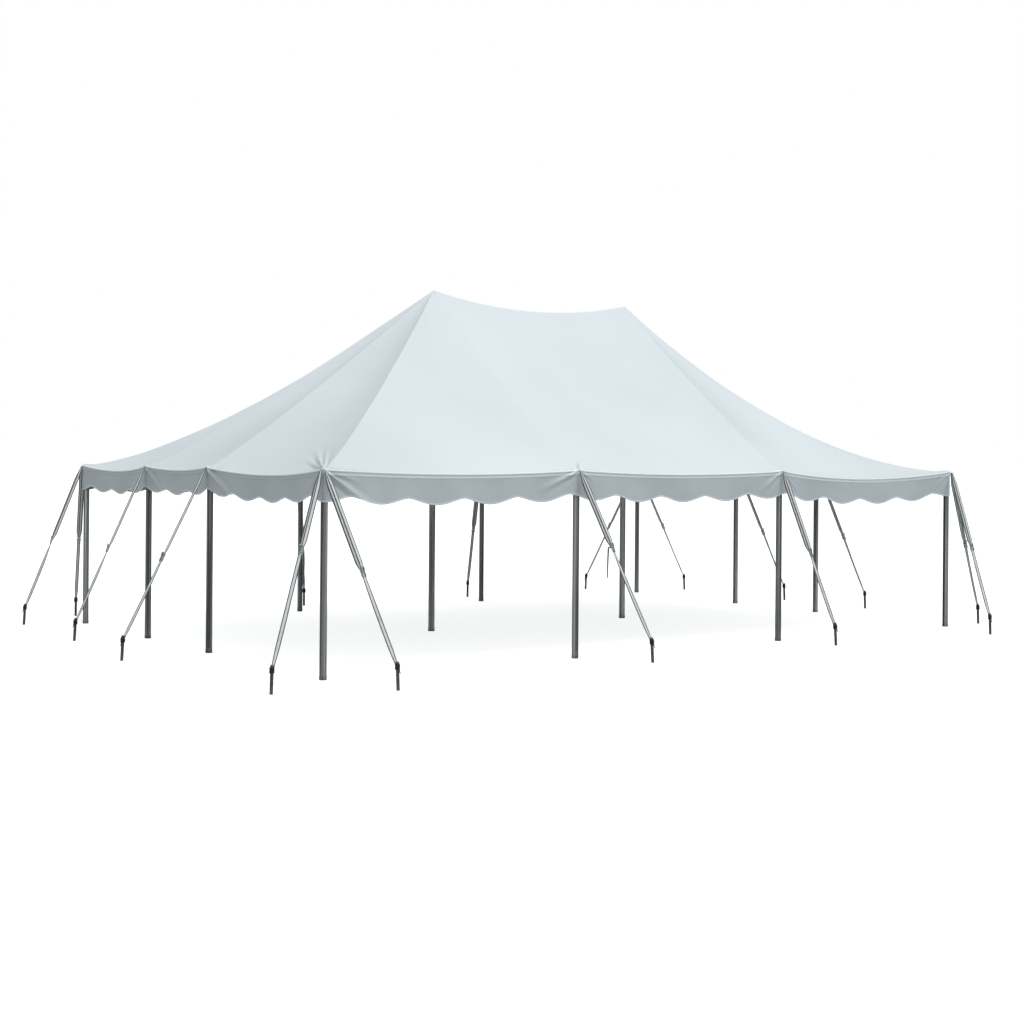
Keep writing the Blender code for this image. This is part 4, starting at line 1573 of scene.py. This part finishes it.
@dataclass
class GuyLines:
    """The strap guys: a ring at the eave, two plies down to a ratchet, one ply on to the stake."""

    plan: TentPlan
    webbing: Material
    shadow_webbing: Material
    painted_shade_webbing: Material
    black: Material
    steel: Material
    top: float = 1.986
    width: float = 0.042
    ply_width: float = 0.041
    ply: float = 0.0024
    spread: float = 0.0140
    knot_height: float = 0.215
    lean: float = math.radians(3)
    tail_length: float = 0.31
    tail_aside: float = 0.034
    gathered: float = 0.012
    opening: float = 0.16
    closing: float = 0.10
    ply_gap: float = 0.0030
    ply_tilt: float = 0.22
    slack: float = 0.004
    tied_narrowing: float = 0.016
    ring_lean: float = 0.6

    def run(self, guy: Guy) -> tuple[Vector, Vector, float]:
        """The line of a guy in its own frame.

        Args:
            guy: The guy.

        Returns:
            Its upper end, its lower end and its lean from the vertical.
        """
        start = Vector((0.0, guy.ring_shift, self.top - 0.006))
        end = Vector((guy.reach - math.tan(self.lean) * self.knot_height, 0.0, self.knot_height))
        line = end - start
        return start, end, math.atan2(line.x, -line.z)

    def strap(
        self,
        name: str,
        steps: int,
        centre: Callable[[float], Vector],
        width: Callable[[float], float],
        turn: Callable[[float], Vector],
        length: float,
    ) -> Item:
        """One length of webbing along a line.

        Args:
            name: Its name.
            steps: The segments along it.
            centre: Its middle at a share of the way.
            width: Its width there.
            turn: The direction across it there.
            length: Its whole length, for the weave.

        Returns:
            The strap.
        """
        item = Bench.strip(name, 4, steps)
        for vertex in item.data.vertices:
            share = vertex.co.y + 0.5
            vertex.co = centre(share) + turn(share) * (vertex.co.x * width(share))
        layer = item.data.uv_layers[0]
        layer.name = "strap"
        for corner in layer.data:
            corner.uv = (corner.uv.x * self.width, corner.uv.y * length)
        return item

    def straps(self, guy: Guy) -> Item:
        """All the webbing of one guy, in the guy's own frame.

        Args:
            guy: The guy.

        Returns:
            The joined webbing, with its loose end where it has one.
        """
        start, end, lean = self.run(guy)
        line = end - start
        middle = start + line * guy.ratchet_place
        out = Vector((math.cos(lean), 0.0, math.sin(lean)))
        length = (middle - start).length
        items = []

        def opened(t: float) -> float:
            """How far the plies stand apart at a share of the way, from 0 to 1."""
            return min(t * length / self.opening, 1.0, (1.0 - t) * length / self.closing) ** 0.8

        for side in (-1.0, 1.0):

            def centre(t: float, side: float = side) -> Vector:
                aside = side * self.spread * (0.12 + 0.88 * opened(t))
                spread = Vector((0, math.cos(guy.twist), 0)) + out * math.sin(guy.twist)
                return start + (middle - start) * t + spread * aside + out * (side * self.ply_gap)

            def across(t: float, side: float = side) -> Vector:
                tilt = guy.twist - side * self.ply_tilt * opened(t)
                return Vector((0, math.cos(tilt), 0)) + out * math.sin(tilt)

            def width(t: float) -> float:
                return self.gathered + (self.ply_width - self.gathered) * opened(t)

            ply = self.strap("ply", 40, centre, width, across, length)
            ply.data.materials.append(self.shadow_webbing if side < 0 else self.webbing)
            items.append(ply)
        lay = guy.twist + (-0.28 if guy.label.startswith("left") else 0.20)
        items.append(self.strap(
            "lower", 30, lambda t: middle + (end - middle) * t - out * (self.slack * math.sin(math.pi * t)),
            lambda t: self.width - self.tied_narrowing * max((t - 0.82) / 0.18, 0.0),
            lambda t: (Vector((0, 1, 0)) + out * (lay * min(3 * t, 1.0))).normalized(),
            (end - middle).length,
        ))
        items[-1].data.materials.append(self.webbing)
        if guy.loose_end:
            items.append(self.strap(
                "tail", 28, lambda t: middle + self.tail_offset(t),
                lambda t: self.width * (0.50 + 0.15 * t),
                lambda t: Vector((math.cos(1.0 + 0.5 * t), math.sin(1.0 + 0.5 * t), 0)), self.tail_length,
            ))
            # Painted shade: the loose end gets dark webbing, standing in for its shadow side.
            items[-1].data.materials.append(self.painted_shade_webbing)
        for item in items:
            Bench.thicken(item, self.ply, 0.0)
            Bench.smooth(item, 60.0)
        return Bench.join("webbing", items)

    def tail_offset(self, share: float) -> Vector:
        """Where the loose end hangs, from the ratchet, at a share of its length.

        It leaves the spool towards the tent, turns over and hangs down.
        """
        turned = min(share / 0.16, 1.0)
        aside = -0.012 - self.tail_aside * math.sin(0.5 * math.pi * turned)
        hump = 0.020 * math.sin(math.pi * min(share / 0.20, 1.0))
        fall = self.tail_length * max(share - 0.10, 0.0) / 0.90
        return Vector((aside - 0.008 * math.sin(2.2 * share), 0.004 * math.sin(5 * share), hump - fall))

    def ratchet(self) -> Item:
        """The ratchet buckle, lying along -Z with its handle on +X."""
        parts = []
        raised = (0, math.radians(14), 0)
        crosswise = (math.pi / 2, 0, 0)
        for side in (-1, 1):
            plate = Bench.block("plate", (0.026, 0.0028, 0.112), (0.002, side * 0.0245, 0.0))
            Bench.pick(plate, "EDGE", lambda at: abs(at.z) > 0.055 and abs(at.x - 0.002) > 0.012)
            bpy.ops.mesh.bevel(offset=0.010, segments=4, affect="EDGES")
            Bench.done()
            arm = Bench.block("arm", (0.018, 0.0024, 0.096), (0.015, side * 0.0205, 0.016), raised)
            Bench.soften(arm, 0.0012, 2)
            wheel = Bench.rod("wheel", 0.015, 0.0030, (0.004, side * 0.0285, -0.020), crosswise, 14)
            Bench.pick(wheel, "FACE", lambda centre, side=side: abs(centre.y) > 0.0299)
            Bench.inset(0.005)
            bpy.ops.mesh.extrude_region_shrink_fatten(TRANSFORM_OT_shrink_fatten={"value": 0.002})
            Bench.done()
            parts += [plate, arm, wheel]
        grip = Bench.block("grip", (0.011, 0.046, 0.022), (0.026, 0, 0.062), raised)
        Bench.soften(grip, 0.004, 3)
        spool = Bench.rod("spool", 0.008, 0.054, (0.004, 0, -0.020), crosswise, 16)
        bolt = Bench.rod("bolt", 0.0045, 0.058, (0.002, 0, 0.046), crosswise, 12)
        catch = Bench.block("catch", (0.006, 0.034, 0.020), (0.010, 0, 0.018), raised)
        Bench.soften(catch, 0.0015, 2)
        bar = Bench.rod("lower_bolt", 0.0045, 0.058, (0.002, 0, -0.048), crosswise, 12)
        item = Bench.join("ratchet", [*parts, grip, spool, bolt, catch, bar])
        item.data.transform(Matrix.Scale(0.82, 4))
        Bench.smooth(item)
        return item

    def ring(self) -> Item:
        """The small D-shaped ring under the hem, its straight bar on top."""
        item = Bench.hoop("ring", 0.0105, 0.0024, (0, 0, 0), (0, math.pi / 2, 0), (28, 8))
        Bench.pick(item, "VERT", lambda co: co.z > 0.0)
        Bench.resize((1.0, 1.08, 0.30), (0, 0, 0))
        Bench.done()
        Bench.smooth(item, 60.0)
        return item

    def knot(self) -> Item:
        """The black tie round the stake's head: six turns, crossed by two, and a short end."""
        parts = []
        for number in range(6):
            tilt = (0.10 * math.sin(2.1 * number), 0.12 * math.cos(1.7 * number), 0.7 * number)
            radius = 0.0190 + 0.0010 * (number % 2)
            parts.append(Bench.hoop("turn", radius, 0.0050, (0, 0, 0.0092 * (number - 2.5)), tilt, (26, 8)))
        for sign in (-1, 1):
            cross = Bench.hoop("cross", 0.0212, 0.0040, (0.001, 0, 0), (sign * 0.72, 0.35, 0), (26, 8))
            parts.append(cross)
        tail = Bench.rod("end", 0.0040, 0.050, (0.021, 0.005, -0.040), (0.15, -0.20, 0), 10)
        Bench.soften(tail, 0.0014, 2)
        item = Bench.join("knot", [*parts, tail])
        Bench.smooth(item, 60.0)
        return item

    def build(self) -> list[Item]:
        """Model the hardware once and set up all the guys."""
        patterns = {"ratchet": self.ratchet(), "ring": self.ring(), "knot": self.knot()}
        made = []
        for guy in self.plan.guys():
            webbing = self.straps(guy)
            webbing.name = webbing.data.name = f"guy_strap_{guy.label}"
            webbing.data.transform(guy.placement)
            made.append(show(webbing, None, [f"guy_{guy.label}"]))
            start, end, lean = self.run(guy)
            middle = start + (end - start) * guy.ratchet_place
            ring_turn = Matrix.Rotation(-self.ring_lean * lean, 4, "Y")
            places = {
                "ratchet": Matrix.Translation(middle) @ Matrix.Rotation(-lean, 4, "Y"),
                "ring": Matrix.Translation((0, guy.ring_shift, self.top)) @ ring_turn,
                "knot": Matrix.Translation(end) @ Matrix.Rotation(-self.lean, 4, "Y"),
            }
            finishes = {"ratchet": self.steel, "ring": self.steel, "knot": self.black}
            for kind, pattern in patterns.items():
                item = Bench.copy(pattern, f"guy_{kind}_{guy.label}", guy.placement @ places[kind])
                made.append(show(item, finishes[kind], [f"guy_{guy.label}"]))
        for pattern in patterns.values():
            bpy.data.objects.remove(pattern, do_unlink=True)
        return made


@dataclass
class Studio:
    """The pale floor, the soft light and the camera at the photograph's angle."""

    floor_size: float = 600.0
    backdrop: float = 1.0
    ambient: float = 0.34
    dome_strength: float = 1.75
    key_strength: float = 0.95
    camera_place: tuple[float, float, float] = (-11.8803, -16.0990, 2.083)
    camera_turn: float = -36.08
    camera_roll: float = 0.45
    focal_pixels: float = 1566.5
    horizon_row: float = 461.7
    picture_size: int = 1024

    def build_floor(self) -> Item:
        """Lay the floor."""
        Bench.clear()
        bpy.ops.mesh.primitive_plane_add(size=self.floor_size, location=(0, 0, 0))
        floor = Bench.settle("studio_floor")
        floor.data.materials.append(FloorFinish().make())
        return floor

    def build_light(self) -> None:
        """Set an even pale surround, a very wide light overhead and a key from the right in front."""
        world = bpy.data.worlds.new("studio")
        bpy.context.scene.world = world
        world.use_nodes = True
        nodes, links = world.node_tree.nodes, world.node_tree.links
        light = nodes["Background"]
        light.inputs["Color"].default_value = (0.95, 0.98, 1.0, 1.0)
        light.inputs["Strength"].default_value = self.ambient
        seen = nodes.new("ShaderNodeBackground")
        seen.inputs["Color"].default_value = (1.0, 1.0, 1.0, 1.0)
        seen.inputs["Strength"].default_value = self.backdrop
        path, mixed = nodes.new("ShaderNodeLightPath"), nodes.new("ShaderNodeMixShader")
        links.new(path.outputs["Is Camera Ray"], mixed.inputs[0])
        links.new(light.outputs[0], mixed.inputs[1])
        links.new(seen.outputs[0], mixed.inputs[2])
        links.new(mixed.outputs[0], nodes["World Output"].inputs["Surface"])
        self.build_lamp("dome_light", self.dome_strength, 140.0, (0.93, 0.975, 1.0), (0.0, -0.15, 1.0))
        self.build_lamp("key_light", self.key_strength, 20.0, (1.0, 0.995, 0.985), (0.35, -0.50, 1.0))

    @staticmethod
    def build_lamp(name: str, strength: float, angle: float, colour: Colour, direction: Colour) -> None:
        """Set up one light that is very far off.

        Args:
            name: Its name.
            strength: Its strength.
            angle: How wide it looks from the tent, in degrees.
            colour: Its colour.
            direction: Where it stands, seen from the tent.
        """
        light = bpy.data.lights.new(name, "SUN")
        light.energy, light.angle, light.color = strength, math.radians(angle), colour
        lamp = bpy.data.objects.new(name, light)
        lamp.rotation_euler = Vector(direction).to_track_quat("Z", "Y").to_euler()
        bpy.context.scene.collection.objects.link(lamp)

    def build_camera(self) -> Item:
        """Set up the camera as the photograph was taken: at eave height and held almost level."""
        lens = bpy.data.cameras.new("camera")
        lens.sensor_width = 36.0
        lens.lens = self.focal_pixels * lens.sensor_width / self.picture_size
        lens.shift_y = (self.horizon_row - self.picture_size / 2) / self.picture_size
        lens.clip_end = 2000.0
        camera = bpy.data.objects.new("camera", lens)
        camera.location = self.camera_place
        aim = Matrix.Rotation(math.radians(self.camera_turn), 3, "Z") @ Matrix.Rotation(math.pi / 2, 3, "X")
        camera.rotation_euler = (aim @ Matrix.Rotation(math.radians(self.camera_roll), 3, "Z")).to_euler()
        bpy.context.scene.collection.objects.link(camera)
        bpy.context.scene.camera = camera
        return camera

    def build(self) -> None:
        """Set up the whole studio."""
        self.build_floor()
        self.build_light()
        self.build_camera()
        bpy.context.scene.view_settings.view_transform = "Standard"


def main() -> None:
    """Build the tent piece by piece and light it."""
    logging.basicConfig(level=logging.INFO, format="%(message)s")
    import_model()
    plan = TentPlan()
    Studio().build()
    pole_finishes = [
        PoleFinish().make(),
        # Painted light: a paler copy for the right and back poles, and a much paler one for the centre
        # poles, to make up for the canopy's shade on them.
        PoleFinish(
            "pole_steel_painted_light", (0.090, 0.093, 0.092), (0.270, 0.277, 0.272), (0.560, 0.568, 0.562)
        ).make(),
        PoleFinish(
            "pole_steel_painted_light_centre", (0.240, 0.245, 0.242), (0.560, 0.568, 0.562), (0.800, 0.806, 0.802)
        ).make(),
    ]
    Poles(plan, *pole_finishes).build()
    Canopy(plan, MembraneFinish().make()).build()
    tape = TapeFinish().make()
    front = ValanceFinish().make()
    # Painted shade: the valances of the other sides get a darker copy of the cloth, with band and under-hem
    # strip in the same dark tone, so they carry no painted highlight.
    side_valance_shade = (0.455, 0.504, 0.528)
    others = ValanceFinish(
        "valance_vinyl_painted_shade", side_valance_shade, (0.402, 0.450, 0.471), band=side_valance_shade, crease=side_valance_shade
    ).make()
    for side in plan.sides():
        Valance(side, front if side.edge is Edge.FRONT else others, tape).build()
    Stakes(plan, StakeFinish().make()).build()
    webbing = [
        WebbingFinish("guy_webbing", 0.0100).make(),
        # Painted shadow: the ply on the shadow side gets a wider dark left stripe, standing in for the
        # shade between the two plies.
        WebbingFinish("guy_webbing_painted_shadow", 0.0160).make(),
        # Painted shade: dark webbing for the loose ends, standing in for their shadow side.
        WebbingFinish("guy_webbing_painted_shade", 0.0070, (0.095, 0.098, 0.100), (0.050, 0.052, 0.054)).make(),
    ]
    GuyLines(plan, *webbing, CordFinish().make(), PlatedFinish().make()).build()


if __name__ == "__main__":
    main()
